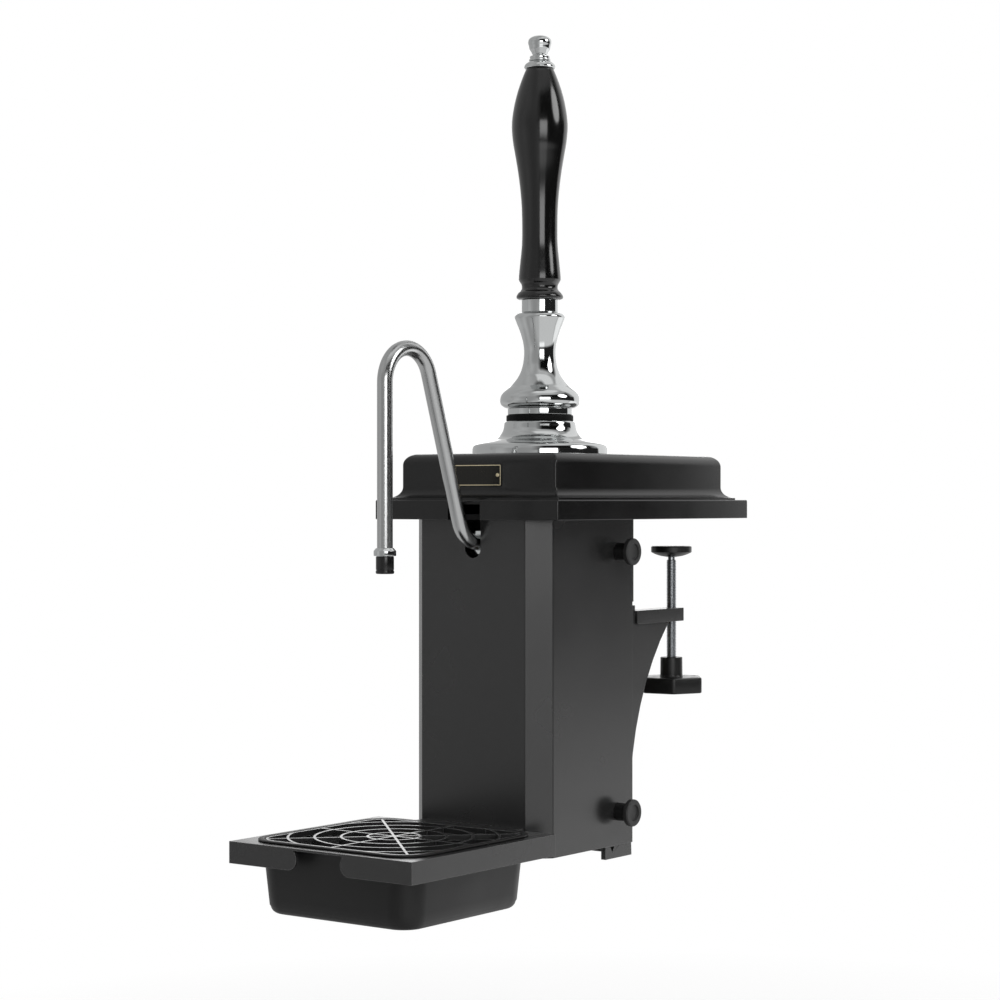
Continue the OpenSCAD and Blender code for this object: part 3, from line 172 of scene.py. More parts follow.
def finish(name, colour, second, roughness, spread, grain, depth, patch, stretch=(1, 1, 1), metallic=0.0,
           edge_highlight=0.0, sockets=None):
    """A surface with tones in patches, uneven gloss, a fine grain in relief and a highlight painted lighter
    along its edges.

    The grain's size and depth and the patches are in millimetres. A colour is linear or an sRGB hex value.
    """
    if name in bpy.data.materials:
        return bpy.data.materials[name]
    if isinstance(colour, str):
        colour = linear(colour)
    material = bpy.data.materials.new(name)
    material.use_nodes = True
    tree = material.node_tree
    shader = tree.nodes["Principled BSDF"]
    for socket, value in {"Metallic": metallic, **(sockets or {})}.items():
        shader.inputs[socket].default_value = value
    place = add(tree, "TexCoord")
    spot = add(tree, "Mapping", {"Vector": (place, "Object"), "Scale": stretch})
    cloud = add(tree, "TexNoise", {"Vector": (spot, "Vector"), "Scale": 1 / MM / patch, "Detail": 3.0})
    # A Mix node's colours are its inputs 6 and 7, and the mixed colour is its output 2
    tone = add(tree, "Mix", {0: (cloud, "Fac"), 6: (*colour, 1), 7: (*linear(second), 1)}, data_type="RGBA")
    # Edges are painted lighter: a painted highlight where the rounded normal turns away from the flat one
    if edge_highlight:
        shape = add(tree, "NewGeometry")
        rounded = add(tree, "Bevel", {"Radius": EDGE_REACH * MM}, samples=4)
        match = add(tree, "VectorMath",
                    {0: (rounded, "Normal"), 1: (shape, "True Normal")}, operation="DOT_PRODUCT")
        edge_highlight_mask = add(tree, "MapRange",
                  {"Value": (match, "Value"), "From Min": EDGE_HIGHLIGHT_START, "From Max": EDGE_HIGHLIGHT_FULL, "To Max": edge_highlight})
        tone = add(tree, "Mix", {0: (edge_highlight_mask, "Result"), 6: (tone, 2), 7: EDGE_HIGHLIGHT_TONE}, data_type="RGBA")
    tree.links.new(tone.outputs[2], shader.inputs["Base Color"])
    fine = add(tree, "TexNoise", {"Vector": (spot, "Vector"), "Scale": 1 / MM / grain, "Detail": 2.0})
    gloss = add(tree, "MapRange",
                {"Value": (cloud, "Fac"), "From Min": 0.2, "From Max": 0.8,
                 "To Min": roughness - spread, "To Max": roughness + spread},
                interpolation_type="SMOOTHERSTEP")
    tree.links.new(gloss.outputs["Result"], shader.inputs["Roughness"])
    relief = add(tree, "Bump", {"Height": (fine, "Fac"), "Strength": 1.0, "Distance": depth * MM})
    tree.links.new(relief.outputs["Normal"], shader.inputs["Normal"])
    return material


def moulded_resin():
    """Glass filled resin with a satin gloss: slightly rippled as it left the mould, a soft wide highlight."""
    colour = bpy.context.scene.case_settings.moulding
    return finish("satin_moulded_resin", colour, "#101010", 0.24, 0.03, 9.0, 0.012, 60.0,
                  sockets={"IOR": 1.42})


def powder_coat():
    """Polyester powder coat on sheet steel: satin, with the orange peel of the melted powder, 2 mm across."""
    colour = bpy.context.scene.case_settings.coat
    # Its edges get a lighter grey painted highlight
    return finish("satin_powder_coat", colour, "#1e1e1e", 0.26, 0.02, 2.2, 0.005, 80.0, edge_highlight=0.6,
                  sockets={"Specular IOR Level": 0.6})


def chrome_plate():
    """Bright chrome over polished brass: a mirror with the faint, long waves that a buffing wheel leaves."""
    colour = bpy.context.scene.handle_settings.chrome
    return finish("buffed_chrome_plate", colour, "#c9cbcb", 0.07, 0.015, 20.0, 0.003, 18.0, metallic=1.0)


def stainless_tube():
    """Drawn stainless tube, polished along its length: bright, with a little haze from the polishing belt."""
    return finish("polished_stainless", "#c2c3c3", "#b8b9b9", 0.22, 0.025, 5.0, 0.002, 14.0,
                  stretch=(1, 1, 0.12), metallic=1.0)


def notch_shade_black():
    """Near black and dull steel: painted shade, so that the mounting plate seen through the notch in the lip
    stays dark.
    """
    return finish("notch_painted_shade", "#070707", "#0b0b0b", 0.5, 0.05, 2.0, 0.003, 15.0,
                  sockets={"Specular IOR Level": 0.2})


def zinc_plate():
    """Turned steel with clear zinc plate: bluish grey, fine tool marks and a cloudy gloss."""
    return finish("clear_zinc_plate", "#b4b7ba", "#a6a9ac", 0.27, 0.04, 1.6, 0.002, 9.0, metallic=1.0)


def rolled_thread():
    """Rolled steel thread with clear zinc plate: a smooth bluish grey with bright crests."""
    return finish("zinc_plated_thread", "#a6a9ac", "#9b9ea1", 0.3, 0.03, 3.0, 0.0005, 30.0, metallic=1.0)


def thread_root_shade():
    """The thread's roots, painted darker as shade: the same zinc, dull and dark."""
    return finish("thread_root_painted_shade", "#2c2d2e", "#202122", 0.5, 0.05, 3.0, 0.0005, 12.0, metallic=1.0)


def lacquered_grip():
    """Beech turned and lacquered black in many coats: deep, with a clear top coat as smooth as glass."""
    colour = bpy.context.scene.handle_settings.grip
    return finish("black_lacquered_beech", colour, "#090909", 0.15, 0.02, 16.0, 0.004, 30.0,
                  stretch=(1, 1, 0.3), sockets={"Coat Weight": 0.3, "Coat Roughness": 0.05})


def soft_rubber():
    """Moulded rubber, matt with a dusty bloom and a fine pebbled skin."""
    colour = bpy.context.scene.handle_settings.rubber
    return finish("moulded_rubber", colour, "#070707", 0.6, 0.06, 0.9, 0.03, 6.0,
                  sockets={"Specular IOR Level": 0.12})


def moulded_nylon():
    """Glass filled nylon, spark eroded mould: an even matt black grain about 0.9 mm across."""
    colour = bpy.context.scene.case_settings.knob
    return finish("grained_nylon", colour, "#1e1e1e", 0.5, 0.05, 0.9, 0.02, 10.0)


def clamp_nylon():
    """Glass filled nylon, polished mould: black with a silky sheen that picks out the rims."""
    return finish("silky_nylon", "#0c0c0c", "#111111", 0.34, 0.04, 1.2, 0.01, 12.0,
                  sockets={"Specular IOR Level": 0.4})


def gloss_nylon():
    """Smooth moulded nylon: a gloss black with the soft sink marks of a small moulding."""
    colour = bpy.context.scene.tray_settings.sparkler
    return finish("gloss_nylon", colour, "#121212", 0.16, 0.03, 4.0, 0.01, 6.0)


def tub_plastic():
    """Vacuum formed polystyrene: matt, with a haircell grain drawn a little coarse, 1.3 mm, to show."""
    colour = bpy.context.scene.tray_settings.tub
    return finish("haircell_polystyrene", colour, "#141414", 0.42, 0.04, 1.3, 0.02, 40.0,
                  sockets={"Specular IOR Level": 0.35})


def grid_plastic():
    """Moulded polypropylene, semi-gloss, with a grey highlight painted along the bars' edges."""
    colour = bpy.context.scene.tray_settings.grid
    return finish("moulded_polypropylene", colour, "#222222", 0.24, 0.03, 3.0, 0.0004, 14.0, edge_highlight=0.8,
                  sockets={"Specular IOR Level": 0.6})


def machined_brass():
    """Bare machined brass: yellow gold, fine turning marks, a little dulled by handling."""
    return finish("machined_brass", "#c9a25a", "#a8843f", 0.28, 0.05, 0.7, 0.008, 9.0, metallic=1.0)


def acetal():
    """Machined natural acetal: milky white, waxy, with faint cutter marks."""
    return finish("natural_acetal", "#dedcd4", "#d3d1c8", 0.38, 0.04, 1.2, 0.01, 15.0,
                  sockets={"Subsurface Weight": 0.05})


def gilt():
    """Gilt brass trim: pale gold with a soft polish."""
    return finish("gilt_brass", "#f4e8ca", "#e6d6ac", 0.3, 0.05, 1.0, 0.004, 5.0, metallic=1.0)


def plate_enamel():
    """Black enamel on a brass plate: near black, faintly cloudy where the brass shows warmth through it."""
    return finish("black_enamel", "#0c0b07", "#12100a", 0.24, 0.04, 1.0, 0.004, 8.0,
                  sockets={"Specular IOR Level": 0.3})


def piece_from(name, points, faces, angle=CREASE):
    """A smooth mesh object from points in millimetres, sharp where its faces meet at more than an angle."""
    mesh = bpy.data.meshes.new(name)
    mesh.from_pydata([Vector(p) * MM for p in points], [], faces)
    work = bmesh.new()
    work.from_mesh(mesh)
    bmesh.ops.remove_doubles(work, verts=work.verts, dist=SAME_POINT)
    bmesh.ops.recalc_face_normals(work, faces=work.faces)
    work.to_mesh(mesh)
    work.free()
    mesh.shade_smooth()
    mesh.set_sharp_from_angle(angle=radians(angle))
    piece = bpy.data.objects.new(name, mesh)
    bpy.context.scene.collection.objects.link(piece)
    return piece


def loft(name, rings, caps=True, angle=CREASE, closed=False):
    """Skins rings of as many points each, and caps both ends unless the last ring meets the first."""
    count = len(rings[0])
    points = [p for ring in rings for p in ring]
    faces = []
    for i in range(len(rings) if closed else len(rings) - 1):
        a, b = i * count, (i + 1) % len(rings) * count
        for k in range(count):
            n = (k + 1) % count
            faces.append((a + k, a + n, b + n, b + k))
    if caps and not closed:
        faces.append(tuple(range(count)))
        faces.append(tuple(range(len(points) - count, len(points))))
    return piece_from(name, points, faces, angle)


def arc(start, stop, steps):
    """Angles in radians from start to stop, which are in degrees."""
    return [radians(start + (stop - start) * k / steps) for k in range(steps + 1)]


def around(steps):
    """Angles in radians once round a circle."""
    return [2 * pi * k / steps for k in range(steps)]


def turned(name, outline, centre, axis="Z", caps=False, steps=None):
    """A turned piece from [radius, height] in millimetres about an axis through centre."""
    steps = steps or bpy.context.scene.handle_settings.facets
    # A ring on the axis keeps this radius, so that its points stay apart
    thinnest = 0.001
    rings = []
    for r, h in outline:
        ring = []
        for a in around(steps):
            u, v = max(r, thinnest) * cos(a), max(r, thinnest) * sin(a)
            offset = {"Z": (u, v, h), "X": (h, u, v), "Y": (u, h, v)}[axis]
            ring.append(Vector(centre) + Vector(offset))
        rings.append(ring)
    return loft(name, rings, caps)


def fillet(points, radii, steps=6):
    """A line through points whose corners are rounded; radii is one number, or one for each point."""
    count = len(points)
    radii = [radii] * count if isinstance(radii, (int, float)) else radii
    line = []
    for i, point in enumerate(points):
        here = Vector(point)
        if radii[i] <= 0 or i in (0, count - 1):
            line.append(here)
            continue
        back = Vector(points[i - 1]) - here
        on = Vector(points[i + 1]) - here
        half = back.angle(on) / 2
        # No corner takes half of a side or more
        reach = min(radii[i] / tan(half), back.length * 0.49, on.length * 0.49)
        a, b = here + back.normalized() * reach, here + on.normalized() * reach
        for k in range(steps + 1):
            t = k / steps
            line.append(a.lerp(here, t).lerp(here.lerp(b, t), t))
    return line


def smooth_line(points, steps=8):
    """A curve through [height, radius] shares."""
    pts = [Vector(p) for p in points]
    line = []
    for i in range(len(pts) - 1):
        a, b, c, d = pts[max(i - 1, 0)], pts[i], pts[i + 1], pts[min(i + 2, len(pts) - 1)]
        for k in range(steps):
            t = k / steps
            bow = (c - a) * t + (2 * a - 5 * b + 4 * c - d) * t * t + (3 * b - a - 3 * c + d) * t ** 3
            line.append(b + bow / 2)
    return line + [pts[-1]]


def round_rectangle(low, high, r, z, steps=6):
    """Points of a rectangle with round corners at one height."""
    ring = []
    for cx, cy, start in ((high[0] - r, high[1] - r, 0), (low[0] + r, high[1] - r, 90),
                          (low[0] + r, low[1] + r, 180), (high[0] - r, low[1] + r, 270)):
        ring += [Vector((cx + r * cos(a), cy + r * sin(a), z))
                 for a in arc(start, start + 90, steps)]
    return ring


def swept(name, path, radius, steps):
    """A round bar along points in the plane X = 0."""
    rings = []
    side = Vector((1, 0, 0))
    for i, point in enumerate(path):
        up = (path[min(i + 1, len(path) - 1)] - path[max(i - 1, 0)]).normalized().cross(side)
        rings.append([point + radius * (cos(a) * side + sin(a) * up) for a in around(steps)])
    return loft(name, rings)


def block(name, low, high):
    """A box between two corners."""
    (a, b, foot), (c, d, top) = low, high
    return loft(name, [[(a, b, z), (c, b, z), (c, d, z), (a, d, z)] for z in (foot, top)])


def cut(piece, *tools):
    """Takes closed shapes out of a piece and bakes that into its mesh."""
    for tool in tools:
        hole = piece.modifiers.new("cut", "BOOLEAN")
        hole.operation = "DIFFERENCE"
        hole.solver = "EXACT"
        hole.object = tool
    bpy.context.view_layer.update()
    mesh = bpy.data.meshes.new_from_object(piece.evaluated_get(bpy.context.evaluated_depsgraph_get()))
    piece.modifiers.clear()
    piece.data = mesh
    mesh.shade_smooth()
    mesh.set_sharp_from_angle(angle=radians(CREASE))
    for tool in tools:
        bpy.data.objects.remove(tool)


def soften(piece, width):
    """Breaks the sharp edges of a piece, as a maker does."""
    edge = piece.modifiers.new("edge", "BEVEL")
    edge.width = width * MM
    edge.segments = 2
    edge.limit_method = "ANGLE"
    edge.angle_limit = radians(BREAK_ABOVE)
    piece.modifiers.new("even", "WEIGHTED_NORMAL").keep_sharp = False


def clad(piece, material, slot, *nodes, body=None):
    """Gives a piece its finish and the body that it rides on, and hides the CAD nodes that it stands for."""
    piece.data.materials.clear()
    piece.data.materials.append(material)
    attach(piece, body or BODY_OF[nodes[0]])
    if nodes:
        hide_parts(*nodes)


def plain_ring(name, node, bore, edge, material, slot):
    """A turned ring with two round outer edges, as high and wide as its CAD node."""
    low, high = corners(node)
    r, foot, top = (high.x - low.x) / 2, low.z, high.z
    line = fillet([(bore, foot), (r, foot), (r, top), (bore, top), (bore, foot)], [0, edge, edge, 0, 0])
    clad(turned(name, line, (0, (low.y + high.y) / 2, 0)), material, slot, node)


def dress(names, material, edge):
    """Gives CAD nodes that stay their finish and breaks their edges."""
    for name in names:
        node = frame["nodes"][name]
        for holder in node.material_slots:
            holder.material = material
        if edge:
            node.modifiers.new("weld", "WELD").merge_threshold = SAME_CAD_POINT
            soften(node, edge)


class Stage(bpy.types.Operator):
    """Makes the camera, the floor, the studio walls with their panels, and the lamps"""

    bl_idname = "beer_engine.stage"
    bl_label = "Stage"

    # Name, turns and rises that it spans, level, distance in metres, fading border each way.
    # Turns count to the right of the camera and rises from level, all in degrees.
    PANELS = (
        ("left_panel", (-66, -1), (-25, 32), 0.38, 5.8, (26, 18)),
        ("rear_panel", (112, 165), (-50, 60), 0.95, 5.8, (8, 8)),
        ("left_window", (-168, -78), (-14, 58), 0.5, 5.9, (12, 14)),
        ("back_panel", (165, 191), (-2, 17), 2.3, 5.7, (5, 4)),
        ("upper_panel", (-45, 125), (56, 84), 0.92, 5.7, (20, 6)),
        ("low_panel", (96, 140), (-60, -5), 1.28, 5.6, (6, 5)),
        ("table_panel", (-10, 100), (-58, -5), 0.8, 5.5, (10, 4)),
        ("near_table_panel", (-4, 34), (-18, -3.5), 1.45, 5.45, (4, 4)),
        ("dark_panel", (-6, 119), (-9, 18), 0.02, 5.4, (4, 4)),
        ("dark_upper_panel", (-16, 120), (9, 47), 0.004, 5.3, (22, 8)),
        ("strip_panel", (-1.5, 30), (-3, 18), 3.8, 5.0, (1, 4)),
    )
    # Name, turn, rise, half of its spread in degrees, level, distance in metres
    ROUND_PANEL = ("round_panel", 74, 27, 15.5, 5.0, 4.9)
    # Name, turn, rise, width in metres, power in watts
    LAMPS = (("key_lamp", 15, 35, 1.2, 26), ("side_lamp", 74, 30, 0.9, 18), ("left_lamp", -75, 35, 1.4, 16),
             ("rear_lamp", 180, 45, 1.2, 12))
    LAMP_DISTANCE = 2.2
    # Share of the walls' height, and tone there
    WALL_TONES = ((0.0, 0.9), (0.35, 0.85), (0.5, 1.0), (0.8, 0.95), (0.985, 1.0), (0.996, 0.3), (1.0, 0.2))
    # Half of the floor's width and its corner, in millimetres
    FLOOR_HALF, FLOOR_CORNER = 9000, 500

    def glow(self, name, level, soft=False):
        """Emission of one strength; a soft panel fades to clear at its border."""
        material = bpy.data.materials.new(name)
        material.use_nodes = True
        tree = material.node_tree
        tree.nodes.clear()
        surface = (add(tree, "Emission", {"Strength": level}), "Emission")
        if soft:
            fade = add(tree, "Attribute", attribute_name="soft")
            clear = add(tree, "BsdfTransparent")
            surface = (add(tree, "MixShader", {0: (fade, "Fac"), 1: (clear, "BSDF"), 2: surface}), 0)
        add(tree, "OutputMaterial", {"Surface": surface})
        return material

    def toward(self, turn, rise):
        """Direction from the turn to the right of the camera and the rise, in degrees."""
        a = bpy.context.scene.stage_settings.turn + radians(turn)
        e = radians(rise)
        return Vector((sin(a) * cos(e), -cos(a) * cos(e), sin(e)))

    def panel(self, name, turns, rises, level, distance, blur):
        """A panel between two turns and two rises, with a border that fades."""
        def lines(low, high, edge):
            inner = [low + edge + (high - low - 2 * edge) * k / 10 for k in range(11)]
            return [low, *inner, high]
        across, up = lines(*turns, blur[0]), lines(*rises, blur[1])
        points = [self.toward(turn, rise) * distance / MM + STAGE_CENTRE for rise in up for turn in across]
        wide = len(across)
        faces = [(j * wide + i, j * wide + i + 1, (j + 1) * wide + i + 1, (j + 1) * wide + i)
                 for j in range(len(up) - 1) for i in range(wide - 1)]
        solid = [0.0 if i in (0, wide - 1) or j in (0, len(up) - 1) else 1.0
                 for j in range(len(up)) for i in range(wide)]
        self.card(name, points, faces, solid, level)

    def round_panel(self, name, turn, rise, spread, level, distance):
        """A round panel whose outer fifth fades."""
        out = self.toward(turn, rise)
        across = out.cross(Vector((0, 0, 1))).normalized()
        up = across.cross(out)
        size = distance / MM * tan(radians(spread))
        n = 48
        ring = [cos(a) * across + sin(a) * up for a in around(n)]
        points = [out * distance / MM + STAGE_CENTRE + size * share * d for share in (0.8, 1) for d in ring]
        faces = [tuple(range(n))] + [(k, (k + 1) % n, n + (k + 1) % n, n + k) for k in range(n)]
        self.card(name, points, faces, [1.0] * n + [0.0] * n, level)

    def card(self, name, points, faces, solid, level):
        """One panel with its fading border."""
        piece = piece_from(name, points, faces)
        piece.data.attributes.new("soft", "FLOAT", "POINT").data.foreach_set("value", solid)
        piece.data.materials.append(self.glow(name, level, soft=True))
        self.only_reflected(piece)

    def only_reflected(self, card):
        """Hides a panel from the camera and from the light that it would throw or block."""
        card.visible_camera = card.visible_diffuse = card.visible_shadow = False
        card.visible_transmission = card.visible_volume_scatter = False

    def walls(self, level):
        """A closed studio that reflections see: grey walls, darkest overhead, unevenly lit."""
        rings = []
        for e in arc(-90, 90, 24):
            out, up = WALL_REACH * cos(e), WALL_REACH * sin(e)
            rings.append([Vector((out * cos(a), out * sin(a), up)) for a in arc(0, 360, 48)[:-1]])
        shell = loft("studio_walls", rings, caps=False)
        material = self.glow("studio_walls", 1.0)
        tree = material.node_tree
        place = add(tree, "TexCoord")
        split = add(tree, "SeparateXYZ", {"Vector": (place, "Generated")})
        ramp = add(tree, "ValToRGB", {"Fac": (split, "Z")})
        while len(ramp.color_ramp.elements) < len(self.WALL_TONES):
            ramp.color_ramp.elements.new(0.5)
        for mark, (spot, tone) in zip(ramp.color_ramp.elements, self.WALL_TONES):
            mark.position = spot
            mark.color = (tone * level, tone * level, tone * level, 1)
        cloud = add(tree, "TexNoise", {"Vector": (place, "Generated"), "Scale": 2.6, "Detail": 1.0})
        light = add(tree, "MapRange",
                    {"Value": (cloud, "Fac"), "From Min": 0.35, "From Max": 0.65,
                     "To Min": 0.8, "To Max": 1.25})
        shine = tree.nodes["Emission"]
        tree.links.new(ramp.outputs["Color"], shine.inputs["Color"])
        tree.links.new(light.outputs["Result"], shine.inputs["Strength"])
        shell.data.materials.append(material)
        self.only_reflected(shell)

    def looked_at(self, tree):
        """One for rays that show a surface to the eye: straight, in a mirror or through glass."""
        ray = add(tree, "LightPath")
        seen = add(tree, "Math",
                   {0: (ray, "Is Camera Ray"), 1: (ray, "Is Glossy Ray")}, operation="ADD", use_clamp=True)
        return add(tree, "Math",
                   {0: (seen, 0), 1: (ray, "Is Transmission Ray")}, operation="ADD", use_clamp=True)

    def floor(self, z):
        """White paper that keeps the shadow near the beer engine and fades into the backdrop."""
        half = self.FLOOR_HALF
        ring = round_rectangle((-half, -half), (half, half), self.FLOOR_CORNER, z)
        floor = piece_from("floor", ring, [tuple(range(len(ring)))])
        paper = bpy.data.materials.new("floor_paper")
        paper.use_nodes = True
        tree = paper.node_tree
        matt = tree.nodes["Principled BSDF"]
        matt.inputs["Base Color"].default_value = (0.8, 0.8, 0.8, 1)
        matt.inputs["Roughness"].default_value = 0.9
        seen = self.looked_at(tree)
        spot = add(tree, "NewGeometry")
        away = add(tree, "VectorMath", {0: (spot, "Position")}, operation="LENGTH")
        fade = add(tree, "MapRange",
                   {"Value": (away, "Value"), "From Min": 0.85, "From Max": 1.4,
                    "To Min": 0.6, "To Max": 1.0})
        share = add(tree, "Math", {0: (seen, 0), 1: (fade, "Result")}, operation="MULTIPLY")
        white = add(tree, "Emission", {"Strength": 1.0})
        mix = add(tree, "MixShader", {0: (share, 0), 1: (matt, "BSDF"), 2: (white, "Emission")})
        tree.links.new(mix.outputs[0], tree.nodes["Material Output"].inputs["Surface"])
        floor.data.materials.append(paper)
        floor.visible_glossy = False

    def world(self, scene, fill):
        """A white backdrop for the eye, and an even fill for the light."""
        scene.world = bpy.data.worlds.new("studio")
        scene.world.use_nodes = True
        tree = scene.world.node_tree
        tree.nodes.clear()
        seen = self.looked_at(tree)
        even = add(tree, "Background", {"Color": (1, 1, 1, 1), "Strength": fill})
        backdrop = add(tree, "Background", {"Color": (1, 1, 1, 1), "Strength": 1.0})
        mix = add(tree, "MixShader", {0: (seen, 0), 1: (even, 0), 2: (backdrop, 0)})
        add(tree, "OutputWorld", {"Surface": (mix, 0)})

    def execute(self, context):
        scene = context.scene
        s = scene.stage_settings
        scene.view_settings.view_transform = "Standard"
        camera = bpy.data.objects.new("camera", bpy.data.cameras.new("camera"))
        scene.collection.objects.link(camera)
        camera.location = s.eye
        camera.rotation_euler = (radians(90), 0, s.turn)
        camera.data.lens = s.lens
        camera.data.sensor_width = 36
        camera.data.clip_start, camera.data.clip_end = 0.05, 60
        scene.camera = camera
        self.floor(CAD_BOX[0].z / MM - s.floor_drop / MM)
        self.world(scene, s.fill)
        self.walls(sum(s.wall) / 3)
        for row in self.PANELS:
            self.panel(*row)
        self.round_panel(*self.ROUND_PANEL)
        for name, turn, rise, size, power in self.LAMPS:
            toward = self.toward(turn, rise)
            lamp = bpy.data.objects.new(name, bpy.data.lights.new(name, "AREA"))
            scene.collection.objects.link(lamp)
            lamp.data.shape = "DISK"
            lamp.data.size = size
            lamp.data.energy = power
            lamp.location = toward * self.LAMP_DISTANCE
            lamp.rotation_euler = toward.to_track_quat("Z", "Y").to_euler()
            lamp.visible_glossy = False
        return {"FINISHED"}


class BaseMoulding(bpy.types.Operator):
    """Makes the hollow base moulding with its lip, foot sweep and round top edge"""

    bl_idname = "beer_engine.base_moulding"
    bl_label = "Base moulding"

    # Sizes in millimetres
    LIP_WALL, LIP_HIGH, LIP_EDGE, LIP_CORNER, LIP_INNER_CORNER = 8.0, 18.2, 1.4, 2.0, 0.6
    HOOD_SIDE, HOOD_FRONT, HOOD_REAR, HOOD_CORNER = 16.7, 20.4, 23.4, 2.2
    FOOT, TOP_EDGE, STEP, SHELL = 10.5, 10.5, 2.0, 4
    LEVER_HOLE, NOTCH_HALF, NOTCH_ROOF = 29, 18.5, 2

    def execute(self, context):
        low, high = corners("base_moulding")
        lip_top, round_r, foot, edge, top = self.LIP_HIGH, self.LIP_EDGE, self.FOOT, self.TOP_EDGE, high.z
        front = (low.x + self.HOOD_SIDE, low.y + self.HOOD_FRONT)
        rear = (high.x - self.HOOD_SIDE, high.y - self.HOOD_REAR)
        rings = []

        def hood(grow, z):
            rings.append(round_rectangle((front[0] - grow, front[1] - grow), (rear[0] + grow, rear[1] + grow),
                                         self.HOOD_CORNER, z))

        def lip(inset, z):
            rings.append(round_rectangle((low.x + inset, low.y + inset), (high.x - inset, high.y - inset),
                                         max(self.LIP_CORNER - inset, self.LIP_INNER_CORNER), z))

        hood(-self.SHELL, top - self.SHELL)
        hood(-self.SHELL, lip_top - self.SHELL)
        lip(self.LIP_WALL, lip_top - self.SHELL)
        lip(self.LIP_WALL, 0)
        lip(0.4, 0)
        lip(0, 0.4)
        for a in arc(0, 90, 6):
            lip(round_r - round_r * cos(a), lip_top - round_r + round_r * sin(a))
        hood(foot + 0.3, lip_top)
        hood(foot, lip_top + 0.3)
        for a in arc(270, 180, 12):
            hood(foot + foot * cos(a), lip_top + self.STEP + foot + foot * sin(a))
        for a in arc(0, 90, 14):
            hood(-edge + edge * cos(a), top - edge + edge * sin(a))
        moulding = loft("moulding", rings)
        dome_low, dome_high = corners("dome_flange")
        middle = ((dome_low + dome_high) / 2).y
        hole = turned("hole", [(self.LEVER_HOLE, z) for z in (top - 2 * OVERRUN, top + 2 * OVERRUN)],
                      (0, middle, 0), caps=True, steps=64)
        notch = block("notch", (-self.NOTCH_HALF, low.y - OVERRUN, -OVERRUN),
                      (self.NOTCH_HALF, corners("front_cover")[0].y, lip_top - self.NOTCH_ROOF))
        cut(moulding, hole, notch)
        clad(moulding, moulded_resin(), "black_moulding", "base_moulding")
        # The mounting plate is painted near black as the shade inside the notch
        dress(["mounting_plate"], notch_shade_black(), 0.3)
        dress(["base_screws"], zinc_plate(), 0.3)
        return {"FINISHED"}


class NamePlate(bpy.types.Operator):
    """Makes the bare name plate with its gilt border line and two pins"""

    bl_idname = "beer_engine.name_plate"
    bl_label = "Name plate"

    # Sizes in millimetres
    CORNER, SMALLEST_CORNER, RIM_DEPTH, FIELD_DEPTH = 1.0, 0.2, 0.15, 0.35
    PIN_HEAD, PIN_SHANK, PIN_CROWN = 1.9, 1.2, 0.8

    def execute(self, context):
        low, high = corners("name_plate")
        middle = (low + high) / 2
        half_x, half_z = (high.x - low.x) / 2, (high.z - low.z) / 2

        def ring(inset, y):
            flat = round_rectangle((-half_x + inset, -half_z + inset), (half_x - inset, half_z - inset),
                                   max(self.CORNER - inset, self.SMALLEST_CORNER), 0)
            return [Vector((p.x, y, middle.z + p.y)) for p in flat]

        front, field = low.y + self.RIM_DEPTH, low.y + self.FIELD_DEPTH
        body = loft("name_plate_body", [ring(0, high.y), ring(0, front + 0.25), ring(0.25, front),
                                        ring(0.45, front), ring(0.5, field)])
        clad(body, plate_enamel(), "plate_black", "name_plate")
        border = loft("name_plate_border", [ring(0.5, field), ring(0.5, low.y + 0.05), ring(0.6, low.y),
                                            ring(1.1, low.y), ring(1.2, low.y + 0.05), ring(1.2, field)],
                      closed=True)
        clad(border, gilt(), "gilt", body="stand")
        low, high = corners("name_plate_pins")
        head, crown = self.PIN_HEAD, self.PIN_CROWN
        line = [(self.PIN_SHANK, high.y), (self.PIN_SHANK, low.y + crown)]
        line += [(head * cos(a), low.y + crown - crown * sin(a)) for a in arc(0, 90, 9)]
        for side, x in (("right", high.x - head), ("left", low.x + head)):
            pin = turned("name_plate_pin_" + side, line, (x, 0, middle.z), "Y", steps=32)
            clad(pin, gilt(), "gilt", *(["name_plate_pins"] if side == "right" else []), body="stand")
        return {"FINISHED"}


class DomedFlange(bpy.types.Operator):
    """Turns the domed chrome flange and the rubber buffer ring on it"""

    bl_idname = "beer_engine.domed_flange"
    bl_label = "Domed flange"

    # Shares of the height and of the radius
    SLOPE = ((0.17, 1), (0.265, 0.982), (0.33, 0.93), (0.403, 0.8), (0.453, 0.707), (0.516, 0.64),
             (0.578, 0.598), (0.64, 0.572), (0.703, 0.553), (0.797, 0.537), (0.95, 0.525), (0.985, 0.515))
    NECK_SHARE = 0.505
    # Sizes in millimetres
    BORE, BOSS, HOLLOW, HOLLOW_HIGH, RIM_BREAK = 28, 32, 58, 5, 0.8
    RING_BORE, RING_EDGE = 27, 1.3

    def execute(self, context):
        low, high = corners("dome_flange")
        centre, radius, tall = (low + high) / 2, (high.x - low.x) / 2, high.z - low.z
        bore, boss, hollow, roof = self.BORE, self.BOSS, self.HOLLOW, low.z + self.HOLLOW_HIGH
        line = [(hollow, low.z), (radius - self.RIM_BREAK, low.z), (radius, low.z + self.RIM_BREAK)]
        line += [(p[1] * radius, low.z + p[0] * tall) for p in smooth_line(self.SLOPE)]
        line += [(radius * self.NECK_SHARE, high.z), (bore + 0.4, high.z), (bore, high.z - 0.4),
                 (bore, low.z), (boss, low.z), (boss, roof), (hollow, roof), (hollow, low.z)]
        clad(turned("domed_flange", line, (0, centre.y, 0)), chrome_plate(), "chrome", "dome_flange")
        plain_ring("rubber_ring", "buffer_ring", self.RING_BORE, self.RING_EDGE, soft_rubber(), "rubber")
        dress(["dome_studs"], zinc_plate(), 0.3)
        return {"FINISHED"}


